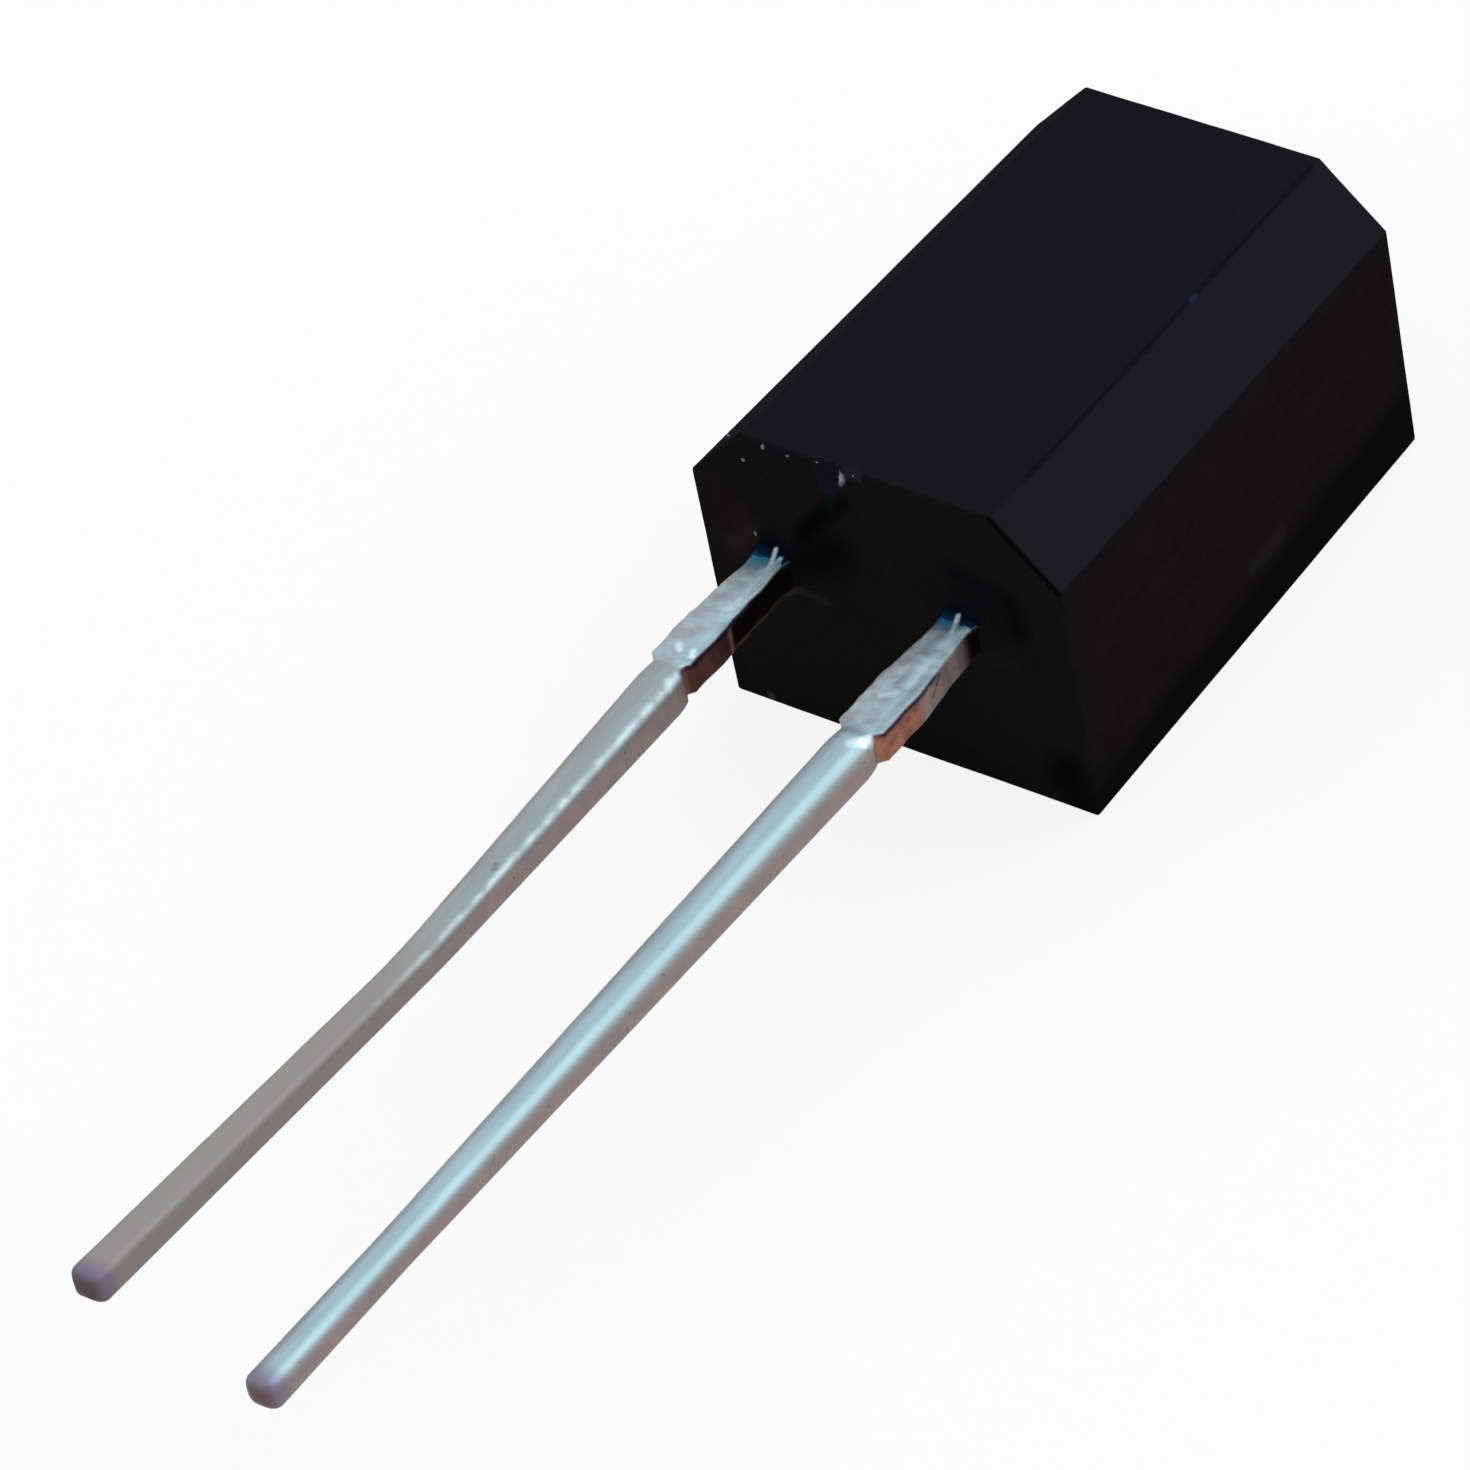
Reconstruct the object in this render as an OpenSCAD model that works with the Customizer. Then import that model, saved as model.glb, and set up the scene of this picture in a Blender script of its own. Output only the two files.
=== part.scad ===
// Side-looking photodiode: a chip on a two-piece lead frame, cast in black daylight-blocking epoxy.
// It lies on its back face, z = 0. The front face, which looks up, is the sensitive side. X runs across
// the body and Y along it. The leads leave the end at y = -body_l / 2, and "out" is the distance from
// that end along a lead.

/* [Moulded body] */
// Width at the lead end
body_w = 5.0; // [4.8:0.1:6]
// Thickness at the lead end, from the back face to the front face
body_t = 4.2; // [4:0.1:5]
// Length from the lead end to the far end
body_l = 7.0; // [6.6:0.1:8]
// How far each side leans in over the length
side_draft = 0.10; // [0.02:0.02:0.16]
// How far the front face leans in over the length
front_draft = 0.20; // [0.02:0.02:0.24]
// Width of each front chamfer
chamfer_w = 0.80; // [0.5:0.05:1]
// Depth of each front chamfer
chamfer_t = 0.82; // [0.5:0.02:1]
// Radius of the moulded edges
edge_r = 0.05; // [0.04:0.01:0.12]

/* [Cast lead end] */
// Radius of the concave resin fillet that climbs each lead
fillet_r = 0.46; // [0.36:0.02:0.54]
// How deep that fillet's arc is sunk, so that it meets the end face at an angle
fillet_sink = 0.04; // [0.02:0.01:0.08]
// Resin left outside the lead's corners at the top of the fillet
fillet_lip = 0.02; // [0.01:0.01:0.05]
// Width of the nick in the front rim
nick_w = 0.28; // [0.2:0.02:0.4]
// Depth of that nick, from the rim down the end face
nick_h = 0.36; // [0.3:0.02:0.5]
// Place of that nick across the body
nick_x = -0.50; // [-0.8:0.05:-0.3]
// Radius of the shrink mark near the back corner
sink_r = 0.30; // [0.2:0.02:0.36]
// Depth of that shrink mark
sink_d = 0.04; // [0.02:0.01:0.06]

/* [Lead frame] */
// Distance between the two leads
pitch = 2.54; // [2.5:0.02:2.6]
// Height of the middle of the lead frame above the back face
frame_z = 2.60; // [2.4:0.05:2.7]
// Thickness of the stamped strip
strip_t = 0.44; // [0.36:0.02:0.5]
// Width of each lead where it leaves the body
neck_w = 0.42; // [0.36:0.02:0.5]
// Where the neck starts to widen towards its tie-bar stub
flare_out = 0.55; // [0.5:0.05:0.8]
// Near edge of the trimmed tie bar
tie_out = 1.50; // [1.3:0.05:1.7]
// Width of the trimmed tie bar along the lead
tie_w = 0.82; // [0.6:0.02:1]
// Stub of the tie bar on the left of each lead, from the lead's middle
stub_left = 0.33; // [0.3:0.01:0.4]
// Stub of the tie bar on the inner side of the cathode lead, from its middle
stub_inner = 0.23; // [0.22:0.01:0.4]
// Stub of the tie bar on the outer side of the anode lead, from its middle
stub_outer = 0.29; // [0.26:0.01:0.4]
// Bevel at the outer corners of the stubs
stub_bevel = 0.10; // [0.04:0.02:0.14]
// Length over which each pin swells out of its stub
shoulder_l = 0.25; // [0.15:0.01:0.35]

/* [Tinned pins] */
// Length of the cathode lead outside the body
cathode_out = 12.84; // [10:0.02:14]
// Length of the anode lead outside the body
anode_out = 13.24; // [10:0.02:14]
// Width of the cathode pin at its shoulder
cathode_root = 0.54; // [0.44:0.01:0.56]
// Width of the cathode pin at its waist
cathode_waist = 0.38; // [0.32:0.005:0.44]
// Width of the cathode pin at its tip
cathode_tip = 0.43; // [0.36:0.005:0.48]
// Where the cathode pin is thinnest
cathode_waist_out = 7.6; // [7:0.1:9]
// Width of the anode pin at its shoulder
anode_root = 0.57; // [0.46:0.01:0.6]
// Width of the anode pin at its waist
anode_waist = 0.41; // [0.34:0.005:0.46]
// Width of the anode pin at its tip
anode_tip = 0.44; // [0.38:0.005:0.5]
// Where the anode pin is thinnest
anode_waist_out = 10.9; // [9:0.1:11.5]
// Thickness of each pin as a share of its width
pin_flat = 0.92; // [0.8:0.02:1]
// Corner radius of each pin as a share of its width
pin_round = 0.32; // [0.2:0.02:0.4]
// Length of the rounding at each tip
tip_l = 0.16; // [0.1:0.02:0.24]
// Lean of the anode pin towards the middle, in degrees
anode_lean = 1.0; // [0:0.1:2]
// Lean of the cathode pin towards the middle, down to its bend, in degrees
cathode_lean = 0.6; // [0:0.1:2]
// Where the cathode pin starts to bend outwards
bend_out = 6.7; // [5:0.1:9]
// Length over which it bends
bend_l = 1.2; // [0.6:0.1:2]
// Angle that it bends through, in degrees
bend_angle = 4.0; // [0:0.1:8]

/* [Chip and bonds] */
// Side of the square die paddle at the end of the cathode lead
paddle = 3.4; // [3.2:0.05:3.6]
// Distance of the paddle's middle from the middle of the body
paddle_y = 0.90; // [0.8:0.05:1]
// Side of the square silicon chip
die = 3.0; // [2.6:0.05:3]
// Thickness of the silicon chip
die_t = 0.28; // [0.2:0.02:0.34]
// Thickness of the conductive adhesive under the chip
glue_t = 0.03; // [0.02:0.01:0.06]
// How far that adhesive squeezes out round the chip
glue_rim = 0.06; // [0.02:0.01:0.08]
// Side of the light-sensitive window on the chip
window = 2.66; // [2.3:0.02:2.7]
// Width of the metal ring round the window
ring_w = 0.05; // [0.02:0.01:0.06]
// Thickness of the metal on the chip
metal_t = 0.02; // [0.01:0.01:0.04]
// Side of the square bond pad on the chip
pad = 0.30; // [0.26:0.02:0.36]
// Length of the bonding pad at the end of the anode lead
post_l = 0.75; // [0.6:0.05:0.8]
// Width of that bonding pad
post_w = 0.90; // [0.8:0.05:1]
// Gap between the bonding pad and the paddle
post_gap = 0.60; // [0.5:0.05:0.7]
// Diameter of the bond wire
wire_d = 0.05; // [0.04:0.01:0.06]
// Height of the bond wire's loop above its chord
loop_h = 0.34; // [0.28:0.02:0.4]
// Diameter of the ball bond
ball_d = 0.12; // [0.1:0.01:0.14]

/* [Hidden] */

lead_end = -body_l / 2;
lead_x = pitch / 2;
frame_top = frame_z + strip_t / 2;
tie_end = tie_out + tie_w;
paddle_near = paddle_y - paddle / 2;
post_end = paddle_near - post_gap;
die_z = frame_top + glue_t;
die_top = die_z + die_t;
window_r = 0.15;
paddle_r = 0.12;
glue_r = 0.10;
fit = 0.001;

// The chip's bond pad sits in the corner of its window, in line with the anode lead's bonding pad
bond_x = window / 2 - pad / 2;
bond_y = paddle_y - window / 2 + pad / 2;
post_y = post_end - post_l / 2;

// How finely the block's edges are rounded
corner_steps = 5;
rim_steps = 5;
rim_blunt = 80;

// The pin grows out of the strip from a thinner root that lies inside the stub
root_in = 0.24;
shoulder_out = tie_end + shoulder_l;
root_share = 0.82;
pin_sides = 24;
pin_rings = 22;
tip_rings = 6;
tip_blunt = 76;

black = [0.07, 0.07, 0.08];
tin = [0.66, 0.70, 0.73];
silicon = [0.16, 0.17, 0.24];
silver_glue = [0.72, 0.71, 0.68];
gold = [0.83, 0.66, 0.30];

// Outline of the body at one end, counterclockwise, with the back face on the ground
function outline(w, t) = [
    [-w / 2, 0], [w / 2, 0], [w / 2, t - chamfer_t], [w / 2 - chamfer_w, t],
    [-w / 2 + chamfer_w, t], [-w / 2, t - chamfer_t]
];

// Unit vector square to the way from a to b, pointing left
function left_of(a, b) = [a[1] - b[1], b[0] - a[0]] / norm(b - a);

// One ring of the block: the outline's corners, moved in by edge_r and rounded with radius rho, at a place
// along the body
function block_ring(w, t, rho, y) =
    let (p = outline(w, t), n = len(p))
    [
        for (i = [0:n - 1])
            let (
                before = -left_of(p[(i + n - 1) % n], p[i]),
                after = -left_of(p[i], p[(i + 1) % n]),
                middle = p[i] - edge_r * (before + after) / (1 + before * after),
                first = atan2(before[1], before[0]),
                turn = acos(before * after)
            )
            for (k = [0:corner_steps])
                let (a = first + turn * k / corner_steps)
                [middle[0] + rho * cos(a), y, middle[1] + rho * sin(a)]
    ];

// The rings that round one end of the block, from its rim towards its face
function end_rings(w, t, face_y, inwards) = [
    for (k = [0:rim_steps])
        let (a = k * rim_blunt / rim_steps)
        block_ring(w, t, edge_r * cos(a), face_y + inwards * edge_r * (1 - sin(a) / sin(rim_blunt)))
];

// The drafted block, with every edge rounded to the same radius
module rounded_block() {
    far = end_rings(body_w - 2 * side_draft, body_t - front_draft, -lead_end, -1);
    near = end_rings(body_w, body_t, lead_end, 1);
    skin(concat([for (k = [rim_steps:-1:0]) far[k]], near));
}

// Turns what stands on the XY plane so that it stands out of the lead end
module out_of_lead_end() {
    translate([0, lead_end, frame_z]) rotate([90, 0, 0]) children();
}

// Resin that crept up one lead while the block was cast, from inside the block to the top of the fillet
module resin_fillet() {
    inner_r = norm([neck_w, strip_t]) / 2 + fillet_lip;
    outer_r = inner_r + fillet_r;
    root = edge_r;
    out_of_lead_end()
        rotate_extrude($fn = 64)
            difference() {
                translate([0, -root]) square([outer_r, root + fillet_r - fillet_sink]);
                translate([outer_r, fillet_r - fillet_sink]) circle(r = fillet_r, $fn = 64);
            }
}

// The nick in the front rim: a notch with two slanting walls
module rim_nick() {
    translate([nick_x, lead_end, body_t])
        rotate([0, 14, 0])
            linear_extrude(2 * nick_h, center = true)
                polygon([[-nick_w / 2, -nick_w], [nick_w / 2, -nick_w], [nick_w / 2, 0], [0, nick_w * 0.45],
                    [-nick_w / 2, 0]]);
}

// The shallow round shrink mark in the back corner of the lead end
module shrink_mark() {
    ball_r = (sink_r * sink_r + sink_d * sink_d) / (2 * sink_d);
    from_side = sink_r - edge_r / 2;
    translate([body_w / 2 - from_side, lead_end - ball_r + sink_d, sink_r + edge_r]) sphere(r = ball_r, $fn = 96);
}

// A square plate with round corners, as flat shapes
module round_square(side, r) {
    square([side, side - 2 * r], center = true);
    square([side - 2 * r, side], center = true);
    for (x = [-1, 1], y = [-1, 1])
        translate([x * (side / 2 - r), y * (side / 2 - r)]) circle(r = r, $fn = 32);
}

// The stamped strip of one lead outside the body, with the stubs of its trimmed tie bar
module stamped_neck(left, right) {
    half = neck_w / 2;
    translate([0, 0, frame_z - strip_t / 2])
        linear_extrude(strip_t)
            polygon([
                [half, lead_end + fit], [half, lead_end - flare_out], [right, lead_end - tie_out],
                [right, lead_end - tie_end + stub_bevel], [right - stub_bevel, lead_end - tie_end],
                [-left + stub_bevel, lead_end - tie_end], [-left, lead_end - tie_end + stub_bevel],
                [-left, lead_end - tie_out], [-half, lead_end - flare_out], [-half, lead_end + fit]
            ]);
}

// The part of each lead that the resin holds, which the body's pocket repeats
module cathode_inner() {
    translate([0, 0, frame_z - strip_t / 2]) {
        linear_extrude(strip_t) {
            translate([0, paddle_y]) round_square(paddle, paddle_r);
            translate([-lead_x - neck_w / 2, lead_end - flare_out])
                square([neck_w, paddle_near + paddle_r - lead_end + flare_out]);
        }
    }
}

module anode_inner() {
    translate([0, 0, frame_z - strip_t / 2])
        linear_extrude(strip_t) {
            translate([lead_x - neck_w / 2, lead_end - flare_out])
                square([neck_w, post_end - lead_end + flare_out]);
            translate([lead_x + neck_w / 2 - post_w, post_end - post_l]) square([post_w, post_l]);
        }
}

// Corner points of a rounded rectangle, as fractions of its width, at angle a
function round_rect(w, t, a) =
    let (
        r = pin_round * w,
        sx = sign(cos(a)),
        sy = sign(sin(a))
    )
    [sx * (w / 2 - r) + r * cos(a), sy * (t / 2 - r) + r * sin(a)];

// One closed ring of the pin, at a distance out from the lead end, shrunk by k towards its middle
function pin_ring(x, out, w, k) = [
    for (i = [0:pin_sides - 1])
        let (p = k * round_rect(w, w * pin_flat, (i + 0.5) * 360 / pin_sides))
        [x + p[0], lead_end - out, frame_z + p[1]]
];

// A solid skinned over rings of equal length, closed by its first and its last ring
module skin(rings) {
    n = len(rings[0]);
    last = len(rings) - 1;
    polyhedron(
        points = [for (ring = rings, p = ring) p],
        faces = concat(
            [[for (i = [0:n - 1]) i]],
            [for (r = [0:last - 1], i = [0:n - 1]) [r * n + i, (r + 1) * n + i, r * n + (i + 1) % n]],
            [for (r = [0:last - 1], i = [0:n - 1])
                [r * n + (i + 1) % n, (r + 1) * n + i, (r + 1) * n + (i + 1) % n]],
            [[for (i = [n - 1:-1:0]) last * n + i]]
        ),
        convexity = 4
    );
}

// How far a pin has moved sideways at a distance out: a straight lean, then a bend of angle turn
function sideways(out, lean, turn) =
    let (past = out - bend_out)
    tan(lean) * (out - tie_end)
        + (past <= 0 ? 0 : past < bend_l ? tan(turn) * past * past / (2 * bend_l) : tan(turn) * (past - bend_l / 2));

// A tinned pin from inside its stub to its blunt, rounded tip
module tinned_pin(x, length, root, waist, waist_out, tip, lean, turn) {
    start = tie_end - root_in;
    widths = [[start, root * root_share], [shoulder_out, root], [waist_out, waist], [length, tip]];
    shaft = [for (i = [0:pin_rings]) start + (length - tip_l - start) * i / pin_rings];
    round_end = [for (i = [1:tip_rings]) i * tip_blunt / tip_rings];
    skin(concat(
        [for (out = shaft) pin_ring(x + sideways(out, lean, turn), out, lookup(out, widths), 1)],
        [for (a = round_end)
            let (out = length - tip_l + tip_l * sin(a) / sin(tip_blunt))
            pin_ring(x + sideways(out, lean, turn), out, lookup(out, widths), cos(a))]
    ));
}

// The moulded block, cast round everything that it holds
module package_body() {
    color(black)
        difference() {
            union() {
                rounded_block();
                for (side = [-1, 1]) translate([side * lead_x, 0, 0]) resin_fillet();
            }
            rim_nick();
            shrink_mark();
            cathode_inner();
            anode_inner();
            die_attach();
            photodiode_die();
            bond_wire();
        }
}

// The cathode lead: one stamping with the die paddle, tinned outside the body and bent outwards
module cathode_lead() {
    color(tin) {
        cathode_inner();
        translate([-lead_x, 0, 0]) stamped_neck(stub_left, stub_inner);
        tinned_pin(-lead_x, cathode_out, cathode_root, cathode_waist, cathode_waist_out, cathode_tip,
            cathode_lean, -bend_angle);
    }
}

// The anode lead: one stamping with its bonding pad, tinned outside the body and straight
module anode_lead() {
    color(tin) {
        anode_inner();
        translate([lead_x, 0, 0]) stamped_neck(stub_left, stub_outer);
        tinned_pin(lead_x, anode_out, anode_root, anode_waist, anode_waist_out, anode_tip, -anode_lean, 0);
    }
}

// The silicon chip, with the metal ring round its window and its bond pad
module photodiode_die() {
    color(silicon) {
        translate([0, paddle_y, die_z + die_t / 2]) cube([die, die, die_t], center = true);
        translate([0, paddle_y, die_top])
            linear_extrude(metal_t)
                difference() {
                    round_square(window + 2 * ring_w, window_r + ring_w);
                    round_square(window, window_r);
                }
        translate([bond_x, bond_y, die_top + metal_t / 2]) cube([pad, pad, metal_t], center = true);
    }
}

// The layer of conductive adhesive between the chip and the paddle
module die_attach() {
    color(silver_glue)
        translate([0, paddle_y, frame_top]) linear_extrude(glue_t) round_square(die + 2 * glue_rim, glue_r);
}

// The bond wire: a ball on the chip's pad, one arched loop, and a flat stitch on the anode lead
module bond_wire() {
    ball_h = wire_d;
    stitch_t = wire_d / 2;
    from = [bond_y, die_top + metal_t + ball_h / 2];
    to = [post_y, frame_top + stitch_t / 2];
    chord = norm(from - to);
    loop_r = (chord * chord / 4 + loop_h * loop_h) / (2 * loop_h);
    half_angle = asin(chord / 2 / loop_r);
    up = -left_of(from, to);
    centre = (from + to) / 2 - up * (loop_r - loop_h);
    tilt = atan2(up[1], up[0]);
    color(gold) {
        translate([bond_x, bond_y, die_top + metal_t]) cylinder(d = ball_d, h = ball_h, $fn = 32);
        translate([bond_x, centre[0], centre[1]])
            rotate([90, 0, 90])
                rotate([0, 0, tilt - half_angle])
                    rotate_extrude(angle = 2 * half_angle, $fn = 96)
                        translate([loop_r, 0]) circle(d = wire_d, $fn = 24);
        translate([bond_x, post_y, frame_top + stitch_t / 2]) cube([2 * wire_d, 4 * wire_d, stitch_t], center = true);
    }
}

package_body();
cathode_lead();
anode_lead();
photodiode_die();
die_attach();
bond_wire();
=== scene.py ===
"""Looks of a side-looking photodiode: a black epoxy block with two tinned leads, on a pale floor."""

import logging
import math
from dataclasses import dataclass
from enum import Enum

import bmesh
import bpy
import numpy as np
from mathutils import Matrix, Vector, noise
from mathutils.geometry import delaunay_2d_cdt


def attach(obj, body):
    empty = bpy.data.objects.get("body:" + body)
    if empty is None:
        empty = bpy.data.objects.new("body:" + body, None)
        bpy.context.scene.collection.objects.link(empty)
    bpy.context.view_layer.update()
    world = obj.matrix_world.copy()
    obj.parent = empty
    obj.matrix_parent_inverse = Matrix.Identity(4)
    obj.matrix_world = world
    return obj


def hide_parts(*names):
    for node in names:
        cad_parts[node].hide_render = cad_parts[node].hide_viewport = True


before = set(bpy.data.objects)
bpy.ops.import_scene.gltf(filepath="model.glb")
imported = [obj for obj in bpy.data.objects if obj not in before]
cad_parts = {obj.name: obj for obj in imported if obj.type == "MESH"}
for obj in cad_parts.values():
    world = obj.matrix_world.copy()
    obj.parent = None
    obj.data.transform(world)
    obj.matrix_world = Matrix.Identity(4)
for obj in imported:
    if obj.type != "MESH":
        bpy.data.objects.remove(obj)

LOG = logging.getLogger("photodiode")
MM = 0.001
BODY = "root"


def linear(code: str) -> tuple[float, float, float, float]:
    """Turns an sRGB hex colour into the linear colour that the shaders take.

    Args:
        code: six hex digits, with or without a leading #.

    Returns:
        Linear red, green, blue and an alpha of 1.
    """
    code = code.lstrip("#")
    parts = [int(code[i:i + 2], 16) / 255 for i in (0, 2, 4)]
    red, green, blue = (c / 12.92 if c <= 0.04045 else ((c + 0.055) / 1.055) ** 2.4 for c in parts)
    return (red, green, blue, 1.0)


def seen_white(tree: bpy.types.NodeTree) -> bpy.types.NodeSocket:
    """1 for what the camera, reflections and transmission see, and 0 for the light that falls on things.

    Args:
        tree: the tree of the world or the floor.

    Returns:
        The share of white.
    """
    rays = add(tree, "ShaderNodeLightPath").outputs
    seen = rays["Is Camera Ray"]
    for other in ("Is Glossy Ray", "Is Transmission Ray"):
        seen = add(tree, "ShaderNodeMath", {0: seen, 1: rays[other]}, operation="MAXIMUM").outputs[0]
    return seen


def per_mm(size: float) -> float:
    """Noise scale that gives features of a size in millimetres on Object coordinates in metres."""
    return 1.0 / (size * MM)


def add(tree: bpy.types.NodeTree, kind: str, links: dict | None = None, **settings: object) -> bpy.types.Node:
    """Adds one node, sets its properties and fills or links its inputs.

    Args:
        tree: the node tree that gets the node.
        kind: the node's type name.
        links: input name or number, to a value or to the output socket that feeds it.
        settings: properties of the node itself.

    Returns:
        The new node.
    """
    node = tree.nodes.new(kind)
    for key, value in settings.items():
        setattr(node, key, value)
    for key, value in (links or {}).items():
        if isinstance(value, bpy.types.NodeSocket):
            tree.links.new(value, node.inputs[key])
        else:
            node.inputs[key].default_value = value
    return node


def smooth_step(low: float, high: float, value: np.ndarray) -> np.ndarray:
    """Eases from 0 at low to 1 at high."""
    t = np.clip((value - low) / (high - low), 0.0, 1.0)
    return t * t * (3 - 2 * t)


def wander(points: np.ndarray, size: float, shift: float = 0.0) -> np.ndarray:
    """Smooth noise between -1 and 1 at points in millimetres.

    Args:
        points: one row of x, y, z for each point.
        size: size of the noise's features in millimetres.
        shift: moves the noise, so that two calls differ.

    Returns:
        One value for each point.
    """
    return np.array([noise.noise(Vector(p) / size + Vector((shift, -shift, 0.37 * shift))) for p in points])


def mesh_piece(name: str, points: np.ndarray, faces: list, marks: dict[str, np.ndarray] | None = None,
               crease: float = 40.0) -> bpy.types.Object:
    """Makes a smooth-shaded mesh object at the origin from points in millimetres.

    Args:
        name: name of the piece.
        points: one row of x, y, z for each vertex.
        faces: vertex numbers of each face, outward side counterclockwise.
        marks: named values, one for each vertex, which the materials read.
        crease: angle in degrees past which an edge is shaded sharp.

    Returns:
        The new object, in the scene.
    """
    mesh = bpy.data.meshes.new(name)
    mesh.from_pydata([tuple(p) for p in points * MM], [], [tuple(int(i) for i in f) for f in faces])
    mesh.validate()
    for mark, values in (marks or {}).items():
        layer = mesh.attributes.new(mark, "FLOAT", "POINT")
        layer.data.foreach_set("value", np.asarray(values, np.float32))
    mesh.shade_smooth()
    mesh.set_sharp_from_angle(angle=math.radians(crease))
    piece = bpy.data.objects.new(name, mesh)
    bpy.context.scene.collection.objects.link(piece)
    return piece


def grid_faces(rings: int, around: int, first: int = 0) -> list[tuple[int, int, int, int]]:
    """Faces that join closed rings of equal length, one after the other.

    Args:
        rings: number of rings.
        around: number of points in each.
        first: number of the first ring's first vertex.

    Returns:
        Four vertex numbers for each face.
    """
    return [
        (first + r * around + i, first + (r + 1) * around + i,
         first + (r + 1) * around + (i + 1) % around, first + r * around + (i + 1) % around)
        for r in range(rings - 1) for i in range(around)
    ]


def open_tree(name: str, inputs: dict[str, str]) -> tuple[bpy.types.NodeTree, bpy.types.Node]:
    """Starts a Geometry Nodes tree that takes and gives a geometry.

    Args:
        name: name of the tree.
        inputs: name of each other input, to the kind of its socket.

    Returns:
        The tree and the node that holds its inputs.
    """
    tree = bpy.data.node_groups.new(name, "GeometryNodeTree")
    for label, kind in {"Geometry": "Geometry", **inputs}.items():
        tree.interface.new_socket(label, in_out="INPUT", socket_type=f"NodeSocket{kind}")
    tree.interface.new_socket("Geometry", in_out="OUTPUT", socket_type="NodeSocketGeometry")
    return tree, add(tree, "NodeGroupInput")


def close_tree(tree: bpy.types.NodeTree, given: bpy.types.Node, geometry: bpy.types.NodeSocket,
               depth: bpy.types.NodeSocket) -> None:
    """Moves the points along their normals, makes all instances real, dresses them and ends the tree.

    Args:
        tree: the tree.
        given: the node that holds its inputs.
        geometry: the geometry so far.
        depth: how far each point moves outwards.
    """
    normal = add(tree, "GeometryNodeInputNormal")
    offset = add(tree, "ShaderNodeVectorMath", {0: normal.outputs[0], "Scale": depth}, operation="SCALE")
    moved = add(tree, "GeometryNodeSetPosition", {"Geometry": geometry, "Offset": offset.outputs[0]})
    real = add(tree, "GeometryNodeRealizeInstances", {"Geometry": moved.outputs[0]})
    dressed = add(tree, "GeometryNodeSetMaterial",
                  {"Geometry": real.outputs[0], "Material": given.outputs["Material"]})
    add(tree, "NodeGroupOutput", {"Geometry": dressed.outputs[0]})


def relief_tree() -> bpy.types.NodeTree:
    """Builds the tree that gives a surface its unevenness, pressed in along its normals by smooth noise.

    Returns:
        The tree.
    """
    numbers = ("Height", "Feature size", "Stretch along Y", "Seed")
    tree, given = open_tree("surface_relief", {**dict.fromkeys(numbers, "Float"), "Material": "Material"})
    shorter, scale = (add(tree, "ShaderNodeMath", {0: 1.0, 1: given.outputs[label]}, operation="DIVIDE").outputs[0]
                      for label in ("Stretch along Y", "Feature size"))
    place = add(tree, "GeometryNodeInputPosition")
    stretch = add(tree, "ShaderNodeCombineXYZ", {0: 1.0, 1: shorter, 2: 1.0})
    scaled = add(tree, "ShaderNodeVectorMath", {0: place.outputs[0], 1: stretch.outputs[0]}, operation="MULTIPLY")
    lumps = add(tree, "ShaderNodeTexNoise",
                {"Vector": scaled.outputs[0], "W": given.outputs["Seed"], "Scale": scale, "Detail": 2.0,
                 "Roughness": 0.5}, noise_dimensions="4D")
    share = add(tree, "GeometryNodeInputNamedAttribute", {"Name": "relief"}, data_type="FLOAT")
    depth = lumps.outputs[0]
    # Only what lies below the noise's upper level moves, so that the surface never leaves the CAD shape.
    for operation, by in (("SUBTRACT", 0.62), ("MINIMUM", 0.0), ("MULTIPLY", given.outputs["Height"]),
                          ("MULTIPLY", share.outputs["Attribute"])):
        depth = add(tree, "ShaderNodeMath", {0: depth, 1: by}, operation=operation).outputs[0]
    close_tree(tree, given, given.outputs["Geometry"], depth)
    return tree


def keep_result(piece: bpy.types.Object, modifier: bpy.types.Modifier) -> None:
    """Makes what a modifier gives the plain mesh of a piece, and removes the modifier.

    Args:
        piece: the object.
        modifier: its only modifier.
    """
    bpy.context.view_layer.update()
    graph = bpy.context.evaluated_depsgraph_get()
    result = bpy.data.meshes.new_from_object(piece.evaluated_get(graph), depsgraph=graph)
    piece.modifiers.remove(modifier)
    piece.data = result
    result.name = piece.name


def run_tree(piece: bpy.types.Object, tree: bpy.types.NodeTree, values: dict[str, object]) -> None:
    """Puts a Geometry Nodes tree on an object, keeps the evaluated mesh and removes the modifier.

    Args:
        piece: the object, whose mesh the result replaces.
        tree: the Geometry Nodes tree.
        values: the tree's input name, to its value.
    """
    modifier = piece.modifiers.new(tree.name, "NODES")
    modifier.node_group = tree
    for item in tree.interface.items_tree:
        if item.item_type == "SOCKET" and item.in_out == "INPUT" and item.name in values:
            modifier[item.identifier] = values[item.name]
    keep_result(piece, modifier)


@dataclass(frozen=True)
class Patch:
    """A soft streak of another colour on a surface, or a spot where its two ends are the same.

    Places and sizes are in millimetres. The squeeze makes distances along an axis count less.
    """

    start: tuple[float, float, float]
    end: tuple[float, float, float]
    reach: float
    colour: str
    strength: float = 1.0
    core: float = 0.25
    squeeze: tuple[float, float, float] = (1, 1, 1)


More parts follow.
